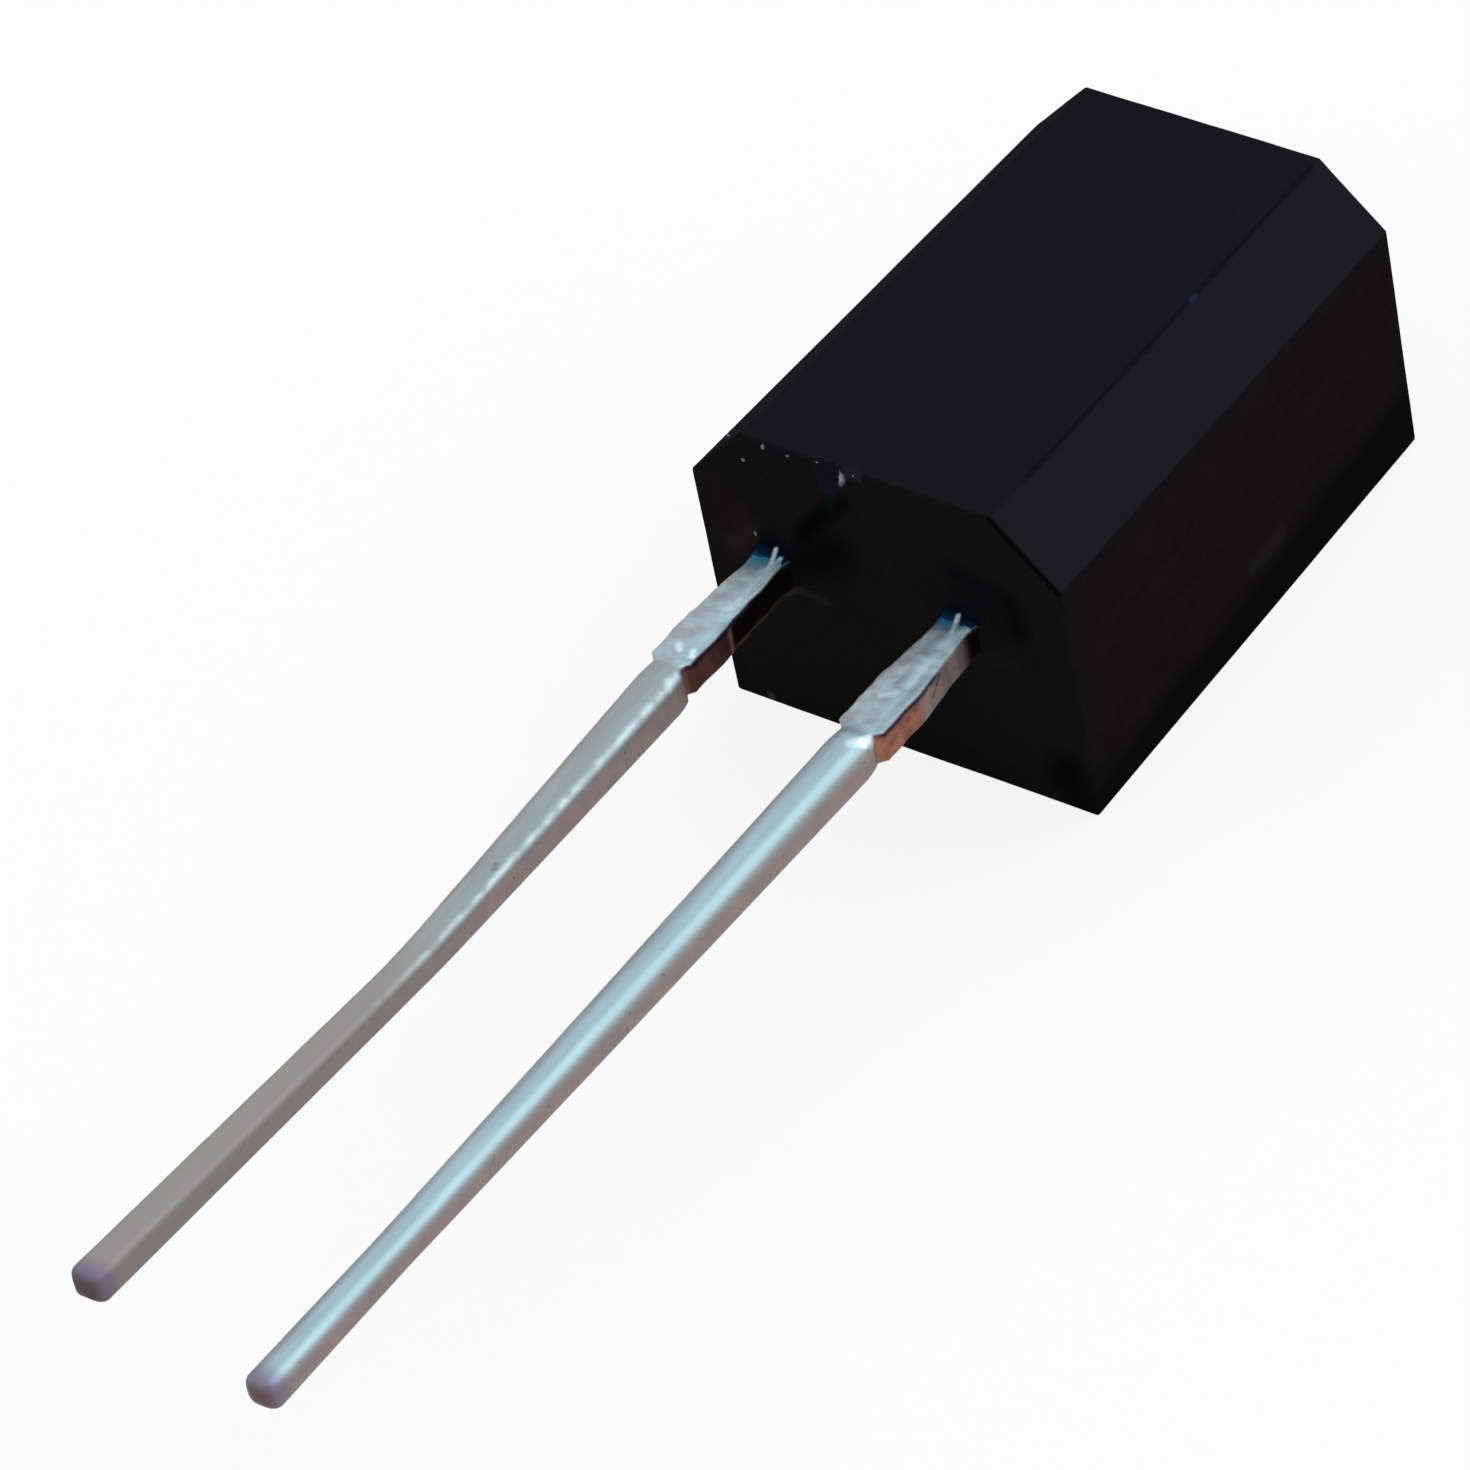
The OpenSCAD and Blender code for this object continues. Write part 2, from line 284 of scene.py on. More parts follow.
@dataclass(frozen=True)
class Finish:
    """What every finish has: a name, a surface and the way to build its material."""

    name: str

    def material(self) -> bpy.types.Material:
        """Builds the material round one Principled shader.

        Returns:
            The material.
        """
        material = bpy.data.materials.new(self.name)
        material.use_nodes = True
        tree = material.node_tree
        tree.nodes.clear()
        shader = add(tree, "ShaderNodeBsdfPrincipled", self.surface(tree))
        add(tree, "ShaderNodeOutputMaterial", {"Surface": self.shown(tree, shader).outputs[0]})
        return material

    def surface(self, tree: bpy.types.NodeTree) -> dict[str, object]:
        """What the shader's inputs get; each finish has its own."""
        raise NotImplementedError

    def shown(self, tree: bpy.types.NodeTree, shader: bpy.types.Node) -> bpy.types.Node:
        """The node that the output takes, which is the shader unless a finish mixes it."""
        return shader

    @staticmethod
    def speckle(tree: bpy.types.NodeTree, size: float, stretch: tuple[float, float, float] = (1, 1, 1),
                detail: float = 4.0) -> bpy.types.NodeSocket:
        """Noise on Object coordinates.

        Args:
            tree: the material's tree.
            size: size of a spot in millimetres.
            stretch: how many times longer a spot is along X, Y and Z.
            detail: octaves of finer noise.

        Returns:
            The noise's factor, from about 0.3 to 0.7.
        """
        place = add(tree, "ShaderNodeTexCoord")
        mapping = add(tree, "ShaderNodeMapping", {"Vector": place.outputs["Object"],
                                                  "Scale": tuple(1 / s for s in stretch)})
        return add(tree, "ShaderNodeTexNoise", {"Vector": mapping.outputs[0], "Scale": per_mm(size),
                                                "Detail": detail}).outputs[0]

    def share(self, tree: bpy.types.NodeTree, given: object) -> object:
        """Turns the short way of writing a share into a socket.

        Args:
            tree: the material's tree.
            given: the name of a mark that the mesh carries; or a share and the range that it is mapped from,
                with the range that it is mapped to after it unless that is 0 to 1; or a list of two shares to
                multiply; or a socket or number.

        Returns:
            The socket, or the number.
        """
        if isinstance(given, str):
            return add(tree, "ShaderNodeAttribute", attribute_name=given).outputs["Fac"]
        if isinstance(given, tuple):
            value, *limits = given
            links = {0: self.share(tree, value), **dict(enumerate(limits, 1))}
            return add(tree, "ShaderNodeMapRange", links).outputs[0]
        if isinstance(given, list):
            one, other = (self.share(tree, part) for part in given)
            return add(tree, "ShaderNodeMath", {0: one, 1: other}, operation="MULTIPLY").outputs[0]
        return given

    def cover(self, tree: bpy.types.NodeTree, colour: object, *layers: tuple[object, object]) -> object:
        """Lays colours over a colour, one after the other.

        Args:
            tree: the material's tree.
            colour: the lowest colour, as sRGB hex or a socket.
            layers: for each, its share and its colour, as sRGB hex or a socket.

        Returns:
            The covered colour.
        """
        for given, over in layers:
            under, over = (linear(c) if isinstance(c, str) else c for c in (colour, over))
            links = {0: self.share(tree, given), 6: under, 7: over}
            colour = add(tree, "ShaderNodeMix", links, data_type="RGBA").outputs[2]
        return colour

    def paint(self, tree: bpy.types.NodeTree, colour: bpy.types.NodeSocket,
              patches: tuple[Patch, ...]) -> bpy.types.NodeSocket:
        """Lays soft patches over a colour, one after the other.

        Args:
            tree: the material's tree.
            colour: the colour so far.
            patches: the patches, the uppermost last.

        Returns:
            The painted colour.
        """
        place = add(tree, "ShaderNodeTexCoord").outputs["Object"]
        for patch in patches:
            squeeze = Vector(patch.squeeze)
            way = (Vector(patch.end) - Vector(patch.start)) * squeeze * MM
            step = way / max(way.length_squared, 1e-15)
            reach = patch.reach * MM
            offset = place
            for operation, by in (("SUBTRACT", Vector(patch.start) * MM), ("MULTIPLY", squeeze)):
                offset = add(tree, "ShaderNodeVectorMath", {0: offset, 1: by}, operation=operation).outputs[0]
            along = add(tree, "ShaderNodeVectorMath", {0: offset, 1: step}, operation="DOT_PRODUCT")
            foot = add(tree, "ShaderNodeVectorMath",
                       {0: way, "Scale": self.share(tree, (along.outputs["Value"], 0, 1))}, operation="SCALE")
            gap = add(tree, "ShaderNodeVectorMath", {0: offset, 1: foot.outputs[0]}, operation="DISTANCE")
            mask = (gap.outputs["Value"], patch.core * reach, reach, patch.strength, 0.0)
            colour = self.cover(tree, colour, (mask, patch.colour))
        return colour


END = -3.5


def on_end(start: tuple[float, float], end: tuple[float, float], *rest: object) -> Patch:
    """A patch on the lead end from x, z to x, z, which reaches over the resin that stands out of it."""
    return Patch((start[0], END, start[1]), (end[0], END, end[1]), *rest, (1, 0.25, 1))


# Painted highlights: two bright prongs on the tin at each lead, which reach into the painted blue glow at the lead's
# entry
PRONG_HIGHLIGHTS = (
    Patch((1.325, -4.03, 2.82), (1.250, -3.79, 2.88), 0.044, "#D3E4EC", 1.0, 0.2, (1, 1, 0.3)),
    Patch((1.345, -4.10, 2.82), (1.455, -3.92, 2.84), 0.046, "#A9CDDB", 0.95, 0.2, (1, 1, 0.3)),
    Patch((-1.170, -4.00, 2.82), (-1.250, -3.75, 2.88), 0.040, "#DCEBF2", 1.0, 0.2, (1, 1, 0.3)),
    Patch((-1.160, -4.02, 2.82), (-1.130, -3.84, 2.84), 0.042, "#B6D2DF", 0.95, 0.2, (1, 1, 0.3)),
)

# Patches on the epoxy, from the lead end to the far end: painted shade, light, highlights, reflections and glow, and
# other tints
EPOXY_PATCHES = (
    # Painted reflection of the cathode lead in warm patches beside it, painted shade beside and above both leads,
    # and painted light below the anode lead
    on_end((-2.30, 3.20), (-2.10, 1.60), 0.75, "#1D1819", 0.8, 0.0),
    on_end((-2.08, 2.40), (-1.74, 2.78), 0.22, "#2C2122", 0.7, 0.0),
    on_end((-2.00, 2.86), (-1.86, 3.02), 0.16, "#2A1C1E", 0.5, 0.0),
    on_end((-0.80, 2.68), (-0.60, 2.86), 0.44, "#070708", 0.7, 0.0),
    on_end((1.74, 2.98), (1.80, 2.58), 0.28, "#080808", 0.65, 0.0),
    on_end((1.08, 3.14), (1.50, 3.06), 0.28, "#0C0B13", 0.6, 0.0),
    on_end((1.15, 1.93), (1.60, 2.02), 0.18, "#1D1D1C", 0.6, 0.1),
    # Painted highlight along the lower edge of the resin that climbed the cathode lead
    on_end((-1.80, 1.66), (-1.25, 2.02), 0.08, "#332E28", 0.8, 0.1),
    on_end((-1.25, 2.02), (-0.92, 1.96), 0.10, "#272523", 0.7, 0.1),
    # Darker patch in the lower right corner, and a pale speck at the back edge
    on_end((2.08, 0.42), (2.20, 0.62), 0.36, "#0A0A0A", 0.9, 0.2),
    on_end((-2.00, 0.10), (-2.00, 0.10), 0.08, "#3E3E46", 0.8, 0.2),
    # Streak and tint below the chip in the rim, and a blue line and a lighter patch on the rim on either side of it
    on_end((-0.40, 3.66), (-0.98, 3.02), 0.19, "#060606", 0.85, 0.2),
    on_end((-0.50, 3.72), (-0.58, 3.50), 0.13, "#0C1A15", 0.7, 0.0),
    Patch((-1.30, END, 4.14), (-1.06, END, 4.13), 0.075, "#0C1828", 0.7, 0.0),
    Patch((-0.27, END, 4.14), (-0.08, END, 4.15), 0.09, "#2B2936", 0.8, 0.2),
    # Dark line between the front and its right chamfer, a painted blue glint on it, and a painted shadow line along
    # the rim of that chamfer
    Patch((1.685, -2.60, 4.18), (1.665, -0.30, 4.11), 0.055, "#0A0A0D", 0.75, 0.0, (1, 0.2, 1)),
    Patch((1.665, -0.30, 4.11), (1.60, 3.30, 4.00), 0.050, "#0E0E12", 0.6, 0.2),
    Patch((1.655, 0.68, 4.08), (1.655, 0.78, 4.08), 0.05, "#2A3A66", 0.6, 0.1),
    Patch((1.69, END, 4.19), (2.48, END, 3.37), 0.060, "#050506", 0.9, 0.2),
    # Darker towards the bottom of the side, and a lighter patch on it
    Patch((2.50, -3.40, 0.00), (2.40, 3.40, 0.42), 0.66, "#0E0D0D", 0.8, 0.45),
    Patch((2.46, 0.05, 0.86), (2.46, 0.60, 0.86), 0.19, "#252223", 0.6, 0.2),
    # Painted blue glow where both leads enter the resin, navy near the body and teal near the tin, broken by the
    # painted highlights of the prongs
    Patch((1.12, -3.80, 2.87), (1.44, -3.88, 2.86), 0.22, "#04101E", 0.9, 0.3),
    Patch((-1.42, -3.78, 2.87), (-1.20, -3.82, 2.86), 0.24, "#040D1C", 0.9, 0.3),
    Patch((1.10, -3.90, 2.85), (1.46, -3.95, 2.84), 0.15, "#0C3C5C", 0.95, 0.0, (1, 1, 0.5)),
    Patch((-1.44, -3.90, 2.85), (-1.18, -3.93, 2.84), 0.17, "#0A3860", 0.95, 0.0, (1, 1, 0.5)),
    Patch((1.08, -3.95, 2.84), (1.32, -3.97, 2.83), 0.09, "#2A748F", 0.9, 0.0, (1, 1, 0.4)),
    Patch((-1.48, -3.94, 2.84), (-1.26, -3.96, 2.83), 0.09, "#276C8C", 0.9, 0.0, (1, 1, 0.4)),
) + PRONG_HIGHLIGHTS


@dataclass(frozen=True)
class BlackEpoxy(Finish):
    """Transfer-cast epoxy, dyed black and clear only to infrared.

    The front and its chamfers are painted a little lighter and bluer, and the sides deeper and warmer, as painted
    light and shade. The lead end set in the open air: it is the glossiest.
    """

    name: str = "black_infrared_epoxy"
    # Painted light and shade: each face has its own tint, lighter and bluer on the front and chamfers, darker and
    # warmer on the sides.
    front: str = "#171A1D"
    front_warm: str = "#1A191E"
    chamfer: str = "#201F25"
    side: str = "#171314"
    side_warm: str = "#1D1616"
    end: str = "#161515"
    chip: str = "#191928"
    glint: str = "#9EA2BC"
    filler: str = "#26272B"

    def surface(self, tree: bpy.types.NodeTree) -> dict[str, object]:
        """What the shader's inputs get.

        Args:
            tree: the material's tree.

        Returns:
            Input name, to its value or the socket that feeds it.
        """
        mottle = self.speckle(tree, 0.45, detail=3.0)
        grain = self.speckle(tree, 0.035, detail=2.0)
        streak = self.speckle(tree, 0.30, (1, 3.5, 1), 3.0)
        front = self.cover(tree, self.front, ((mottle, 0.38, 0.62), self.front_warm))
        side = self.cover(tree, self.side, ((streak, 0.40, 0.62), self.side_warm))
        # Real grains of filler are 0.01 to 0.03 mm; they are drawn at the coarse end so that they show.
        fleck = (grain, 0.35, 0.65, 0.0, 0.16)
        # Each face of the block gets its own tint, which is painted light and shade.
        colour = self.cover(tree, side, ("front", front), ("chamfer", self.chamfer), ("cast", self.end),
                            (fleck, self.filler))
        colour = self.paint(tree, colour, EPOXY_PATCHES)
        # The broken face of the chip, and a painted glint on its right wall.
        colour = self.cover(tree, colour, ("chip", self.chip), ("glint", self.glint))
        matt, glossy = (self.share(tree, s) for s in ((mottle, 0.3, 0.7, 0.46, 0.58), ("cast", 0.0, 1.0, 0.0, 0.10)))
        rough = add(tree, "ShaderNodeMath", {0: matt, 1: glossy}, operation="SUBTRACT").outputs[0]
        wide = add(tree, "ShaderNodeBump", {"Strength": 0.25, "Distance": 0.01 * MM, "Height": mottle})
        fine = add(tree, "ShaderNodeBump", {"Strength": 0.35, "Distance": 0.002 * MM, "Height": grain,
                                            "Normal": wide.outputs[0]})
        return {"Base Color": colour, "Roughness": rough, "Normal": fine.outputs[0], "IOR": 1.5,
                "Specular IOR Level": 0.0}


@dataclass(frozen=True)
class ResinFlash(Finish):
    """Crumbs of thin resin flash, frosted by tearing, so that they look pale on the black block; their paleness is
    partly a painted glint.
    """

    name: str = "torn_resin_flash"
    # Pale colour that is partly a painted glint.
    frosted: str = "#8795A0"
    clear: str = "#4A5058"

    def surface(self, tree: bpy.types.NodeTree) -> dict[str, object]:
        """What the shader's inputs get.

        Args:
            tree: the material's tree.

        Returns:
            Input name, to its value or the socket that feeds it.
        """
        torn = self.speckle(tree, 0.04)
        bump = add(tree, "ShaderNodeBump", {"Strength": 0.4, "Distance": 0.004 * MM, "Height": torn})
        return {"Base Color": self.cover(tree, self.clear, ((torn, 0.35, 0.6), self.frosted)),
                "Roughness": self.share(tree, (torn, 0.3, 0.7, 0.7, 0.45)), "Normal": bump.outputs[0],
                "Specular IOR Level": 0.3}


# Painted highlights, stains and a pit on the tin
TIN_PATCHES = (
    # Pit in the cathode pin, painted highlights at the shoulders and on the anode strip, and a mauve streak on that
    # strip
    Patch((-1.19, -9.28, 2.76), (-1.16, -9.34, 2.76), 0.065, "#55525E", 0.9, 0.2),
    Patch((1.34, -6.04, 2.83), (1.46, -5.90, 2.80), 0.10, "#DCE9EE", 0.9, 0.0),
    Patch((1.41, -5.95, 2.82), (1.45, -5.99, 2.80), 0.06, "#F6FAFC", 1.0, 0.2),
    Patch((-1.16, -5.52, 2.82), (-1.13, -5.60, 2.82), 0.060, "#D6E8EC", 0.9, 0.0),
    Patch((-1.37, -5.50, 2.82), (-1.32, -5.56, 2.82), 0.065, "#CBE2E6", 0.9, 0.0),
    Patch((-1.13, -6.06, 2.81), (-1.07, -6.16, 2.79), 0.070, "#D9E8EC", 0.9, 0.0),
    Patch((1.18, -5.22, 2.82), (1.30, -5.12, 2.82), 0.080, "#B9CDD5", 0.8, 0.0),
    Patch((1.22, -4.98, 2.82), (1.24, -4.84, 2.82), 0.030, "#7E7480", 0.8, 0.0),
    # Maroon stains and a beige patch on the side of the anode lead, before its bare copper
    Patch((1.48, -4.62, 2.74), (1.48, -4.70, 2.67), 0.045, "#45232A", 0.9, 0.1, (0.2, 1, 1)),
    Patch((1.48, -4.76, 2.62), (1.48, -4.80, 2.58), 0.040, "#5A2C2C", 0.85, 0.1, (0.2, 1, 1)),
    Patch((1.49, -4.86, 2.72), (1.50, -4.94, 2.56), 0.075, "#A88C78", 0.85, 0.1, (0.2, 1, 1)),
) + PRONG_HIGHLIGHTS


@dataclass(frozen=True)
class HotDipTin(Finish):
    """Tin that the leads were dipped in: satin grey, a little lumpy where the strip is flat, smooth and streaked
    along the pins, thin and brownish on the strip's sheared sides, with bare copper where the tie bar was cut. The
    pins and the strip carry a painted highlight band and painted highlights, the pins a painted warm reflection on
    their right sides; the strip's flanks carry painted shade near the body, and a painted blue glow lies where the
    leads enter the resin."""

    name: str = "hot_dip_tin"
    tin: str = "#868A90"
    # Bluer tin of the painted highlight band round the pins.
    painted_sheen: str = "#95AEB4"
    bright: str = "#A9C0C7"
    strip: str = "#94969D"
    # Bluer tin of the painted highlight on the right part of the strip's top.
    strip_painted_sheen: str = "#98AEB6"
    dull: str = "#96928D"
    # Right sides: a painted warm reflection on the pins, and the tin's own brownish tone on the strip's sheared
    # flanks.
    side: str = "#8F8181"
    side_warm: str = "#98877F"
    copper: str = "#A56E57"
    copper_dark: str = "#7E5042"
    burr: str = "#2A1F33"
    shade: str = "#0F0C0B"
    shade_edge: str = "#4C3C2E"
    # Painted blue glow where the leads enter the resin.
    painted_entry_glow: str = "#3A86A4"
    tip: str = "#7A7189"
    tip_end: str = "#635156"
    gleam: str = "#C3D3DA"
    pit: str = "#4B3A3E"
    maroon: str = "#3A1B15"

    def surface(self, tree: bpy.types.NodeTree) -> dict[str, object]:
        """What the shader's inputs get.

        Args:
            tree: the material's tree.

        Returns:
            Input name, to its value or the socket that feeds it.
        """
        streak = self.speckle(tree, 0.14, (1, 9, 1), 3.0)
        patch = self.speckle(tree, 0.20, detail=3.0)
        grain = self.speckle(tree, 0.03, detail=3.0)
        pits = self.speckle(tree, 0.07)
        # A painted highlight band in bluer tin lies round each pin and on the right part of the strip.
        pin = self.cover(tree, self.tin, ("painted_sheen", self.painted_sheen), ((streak, 0.42, 0.70, 0.0, 0.35), self.bright))
        strip = self.cover(tree, self.strip, ("painted_sheen", self.strip_painted_sheen), ((patch, 0.40, 0.64, 0.0, 0.5), self.bright))
        side = self.cover(tree, self.side, ((patch, 0.40, 0.62), self.side_warm))
        worn = self.cover(tree, self.copper_dark, ((patch, 0.35, 0.65), self.copper))
        # Painted highlights, a painted warm reflection on the pins' right sides, painted shade near the body and a
        # painted blue glow at the entry lie over the tin, with its real stains and copper.
        colour = self.cover(
            tree, pin, ("flat", strip), ("dull", self.dull), (["shine", (patch, 0.38, 0.58, 0.15, 1.0)], self.gleam),
            ("side", side), ([(pits, 0.68, 0.74, 0.0, 0.8), "side"], self.pit), ("shade", self.shade),
            ("shade_edge", self.shade_edge), ("bare", worn), (["bare", "deep"], self.maroon), ("burr", self.burr),
            ("painted_entry_glow", self.painted_entry_glow))
        colour = self.paint(tree, colour, TIN_PATCHES)
        colour = self.cover(tree, colour, ("tip", self.tip), ("tip_end", self.tip_end))
        lumps = self.share(tree, ("flat", 0.0, 1.0, 0.10, 0.40))
        coarse = add(tree, "ShaderNodeBump", {"Strength": lumps, "Distance": 0.015 * MM, "Height": patch})
        fine = add(tree, "ShaderNodeBump", {"Strength": 0.3, "Distance": 0.003 * MM, "Height": grain,
                                            "Normal": coarse.outputs[0]})
        return {"Base Color": colour, "Roughness": self.share(tree, ("dull", 0.0, 1.0, 0.50, 0.72)),
                "Metallic": self.share(tree, ("shade", 0.0, 0.9, 1.0, 0.0)), "Normal": fine.outputs[0],
                "Specular IOR Level": 0.0}


@dataclass(frozen=True)
class PolishedSilicon(Finish):
    """Silicon wafer: a blue-violet anti-reflection layer on top, grey sawn sides and an aluminium ring."""

    name: str = "polished_silicon"
    coated: str = "#23264A"
    sawn: str = "#5A5C62"
    aluminium: str = "#C9CBCD"
    top_z: float = 3.13
    metal_z: float = 3.135
    violet: str = "#2E2550"
    groove: str = "#3E4046"

    def surface(self, tree: bpy.types.NodeTree) -> dict[str, object]:
        """What the shader's inputs get.

        Args:
            tree: the material's tree.

        Returns:
            Input name, to its value or the socket that feeds it.
        """
        cloud = self.speckle(tree, 0.7)
        marks = self.share(tree, (self.speckle(tree, 0.02, (1, 1, 8)), 0.35, 0.65))
        place = add(tree, "ShaderNodeTexCoord")
        height = add(tree, "ShaderNodeSeparateXYZ", {0: place.outputs["Object"]}).outputs[2]
        on_top = self.share(tree, (height, (self.top_z - 0.004) * MM, (self.top_z - 0.002) * MM))
        metal = self.share(tree, (height, (self.metal_z - 0.002) * MM, self.metal_z * MM))
        coated = self.cover(tree, self.coated, ((cloud, 0.3, 0.7), self.violet))
        sawn = self.cover(tree, self.sawn, (marks, self.groove))
        bump = add(tree, "ShaderNodeBump", {"Strength": 0.2, "Distance": 0.003 * MM, "Height": marks})
        return {"Base Color": self.cover(tree, sawn, (on_top, coated), (metal, self.aluminium)),
                "Roughness": self.share(tree, (on_top, 0.0, 1.0, 0.5, 0.12)), "Metallic": metal,
                "Normal": bump.outputs[0]}


@dataclass(frozen=True)
class SilverAdhesive(Finish):
    """Epoxy filled with silver flakes and cured: pale grey and grainy, with a dull metallic glint."""

    name: str = "silver_filled_adhesive"
    paste: str = "#B9B6AF"
    flake: str = "#DCDAD4"

    def surface(self, tree: bpy.types.NodeTree) -> dict[str, object]:
        """What the shader's inputs get.

        Args:
            tree: the material's tree.

        Returns:
            Input name, to its value or the socket that feeds it.
        """
        # Real flakes are 0.005 mm; they are drawn at 0.03 mm so that they show.
        flakes = self.speckle(tree, 0.03)
        bump = add(tree, "ShaderNodeBump", {"Strength": 0.4, "Distance": 0.004 * MM, "Height": flakes})
        return {"Base Color": self.cover(tree, self.paste, ((flakes, 0.45, 0.6), self.flake)),
                "Roughness": self.share(tree, (flakes, 0.3, 0.7, 0.65, 0.4)), "Normal": bump.outputs[0],
                "Metallic": 0.5}


@dataclass(frozen=True)
class DrawnGold(Finish):
    """Fine gold wire, drawn through a die: bright, with faint lines along it."""

    name: str = "drawn_gold"
    gold: str = "#E8BE62"
    shade: str = "#D0A14A"

    def surface(self, tree: bpy.types.NodeTree) -> dict[str, object]:
        """What the shader's inputs get.

        Args:
            tree: the material's tree.

        Returns:
            Input name, to its value or the socket that feeds it.
        """
        lines = self.speckle(tree, 0.01, (1, 20, 6))
        return {"Base Color": self.cover(tree, self.gold, ((lines, 0.35, 0.65), self.shade)),
                "Roughness": self.share(tree, (lines, 0.3, 0.7, 0.16, 0.28)), "Metallic": 1.0}


@dataclass(frozen=True)
class PaleFloor(Finish):
    """Smooth white card, which the camera and every reflection see as white with the object's soft shadow."""

    name: str = "pale_card"
    card: str = "#F4F4F2"
    glow: float = 0.86
    fibre: str = "#EFEFEF"

    def surface(self, tree: bpy.types.NodeTree) -> dict[str, object]:
        """What the shader's inputs get.

        Args:
            tree: the material's tree.

        Returns:
            Input name, to its value or the socket that feeds it.
        """
        spots = (self.speckle(tree, 0.4), 0.3, 0.7, 0.0, 0.3)
        return {"Base Color": self.cover(tree, self.card, (spots, self.fibre)), "Roughness": 0.9,
                "Specular IOR Level": 0.0}

    def shown(self, tree: bpy.types.NodeTree, shader: bpy.types.Node) -> bpy.types.Node:
        """Lets the card glow white for what sees it, with the object's shadow left on it.

        Args:
            tree: the material's tree.
            shader: the card's own shader.

        Returns:
            The mixed shader.
        """
        white = add(tree, "ShaderNodeEmission", {"Color": (1, 1, 1, 1), "Strength": 1.0})
        share = self.share(tree, [seen_white(tree), self.glow])
        return add(tree, "ShaderNodeMixShader", {0: share, 1: shader.outputs[0], 2: white.outputs[0]})


class Plate(Enum):
    """What a lead ends in inside the epoxy: near and far edge, reach left and right, corner radius, in mm."""

    PADDLE = (2.70, 6.10, 0.43, 2.97, 0.12)
    POST = (1.35, 2.10, 0.69, 0.21, 0.02)


@dataclass
class MouldedBody:
    """The epoxy block, cast round the lead frame. Sizes are in millimetres."""

    width: float = 5.0
    thickness: float = 4.2
    length: float = 7.0
    side_draft: float = 0.10
    front_draft: float = 0.20
    chamfer_w: float = 0.80
    chamfer_t: float = 0.82
    edge_r: float = 0.05
    lead_x: float = 1.27
    frame_z: float = 2.60
    neck: tuple[float, float] = (0.42, 0.44)
    fillet_r: float = 0.46
    fillet_top: float = 0.41
    lip: float = 0.010
    spacing: float = 0.09
    arc_steps: int = 7
    rim_steps: int = 7
    rim_blunt: float = 84.0
    lead_end: float = -3.5

    def outline(self, out: float) -> list[tuple[float, float]]:
        """Corners of the section at a share of the length from the lead end, counterclockwise.

        Args:
            out: 0 at the lead end, 1 at the far end.

        Returns:
            Six x, z corners, starting at the back left.
        """
        w = self.width - 2 * self.side_draft * out
        t = self.thickness - self.front_draft * out
        return [(-w / 2, 0.0), (w / 2, 0.0), (w / 2, t - self.chamfer_t), (w / 2 - self.chamfer_w, t),
                (-w / 2 + self.chamfer_w, t), (-w / 2, t - self.chamfer_t)]

    def ring(self, out: float, rho: float, y: float) -> tuple[np.ndarray, np.ndarray]:
        """Points round the block, with corners moved in by the edge radius and rounded with radius rho.

        Args:
            out: 0 at the lead end, 1 at the far end.
            rho: radius of the rounding.
            y: place along the body.

        Returns:
            The points, and for each the side that it belongs to plus how much of it is an edge.
        """
        corners = [np.array(p) for p in self.outline(out)]
        count = len(corners)
        full = [np.array(p) for p in self.outline(0.0)]
        counts = [max(2, round(float(np.linalg.norm(b - a)) / self.spacing))
                  for a, b in zip(full, full[1:] + full[:1])]
        normals = []
        for a, b in zip(corners, corners[1:] + corners[:1]):
            way = (b - a) / np.linalg.norm(b - a)
            normals.append(np.array((way[1], -way[0])))
        points, kinds = [], []
        for i in range(count):
            before, after = normals[i - 1], normals[i]
            middle = corners[i] - self.edge_r * (before + after) / (1 + before @ after)
            first = math.atan2(before[1], before[0])
            turn = math.acos(before @ after)
            for k in range(self.arc_steps + 1):
                a = first + turn * k / self.arc_steps
                points.append((middle[0] + rho * math.cos(a), y, middle[1] + rho * math.sin(a)))
                kinds.append(i - 1 + k / self.arc_steps)
            nxt, then = corners[(i + 1) % count], normals[(i + 1) % count]
            far = nxt - self.edge_r * (after + then) / (1 + after @ then)
            steps = counts[i]
            for k in range(1, steps):
                p = middle + (far - middle) * k / steps + rho * after
                points.append((p[0], y, p[1]))
                kinds.append(float(i))
        return np.array(points), np.array(kinds)

    def fillet_height(self, gap: np.ndarray) -> np.ndarray:
        """How far the resin stands out of the end face at a distance from a lead's surface."""
        inner = np.clip(self.fillet_r - gap, 0.0, self.fillet_r)
        rise = self.fillet_top - np.sqrt(np.maximum(self.fillet_r ** 2 - inner ** 2, 0.0))
        return np.clip(rise, 0.0, self.fillet_top)

    def neck_gap(self, x: np.ndarray, z: np.ndarray, lead_x: float) -> np.ndarray:
        """Distance of points on the end face from a lead's surface."""
        qx = np.abs(x - lead_x) - self.neck[0] / 2
        qz = np.abs(z - self.frame_z) - self.neck[1] / 2
        return np.hypot(np.maximum(qx, 0), np.maximum(qz, 0)) + np.minimum(np.maximum(qx, qz), 0)

    def rise(self, x: np.ndarray, z: np.ndarray, rim: np.ndarray) -> np.ndarray:
        """Height of the cast end face over its plane: the resin fillets, and a face that sags from its rim.

        Args:
            x: places across the body.
            z: places up from the back face.
            rim: distance of each place from the rim.

        Returns:
            The height of each place, outwards.
        """
        sag = self.lip * (1 - np.exp(-(rim / 0.10) ** 2))
        height = -sag
        for side in (-1, 1):
            gap = self.neck_gap(x, z, side * self.lead_x)
            height = np.maximum(height, self.fillet_height(gap) - sag * smooth_step(0.1, 0.4, gap))
        return height

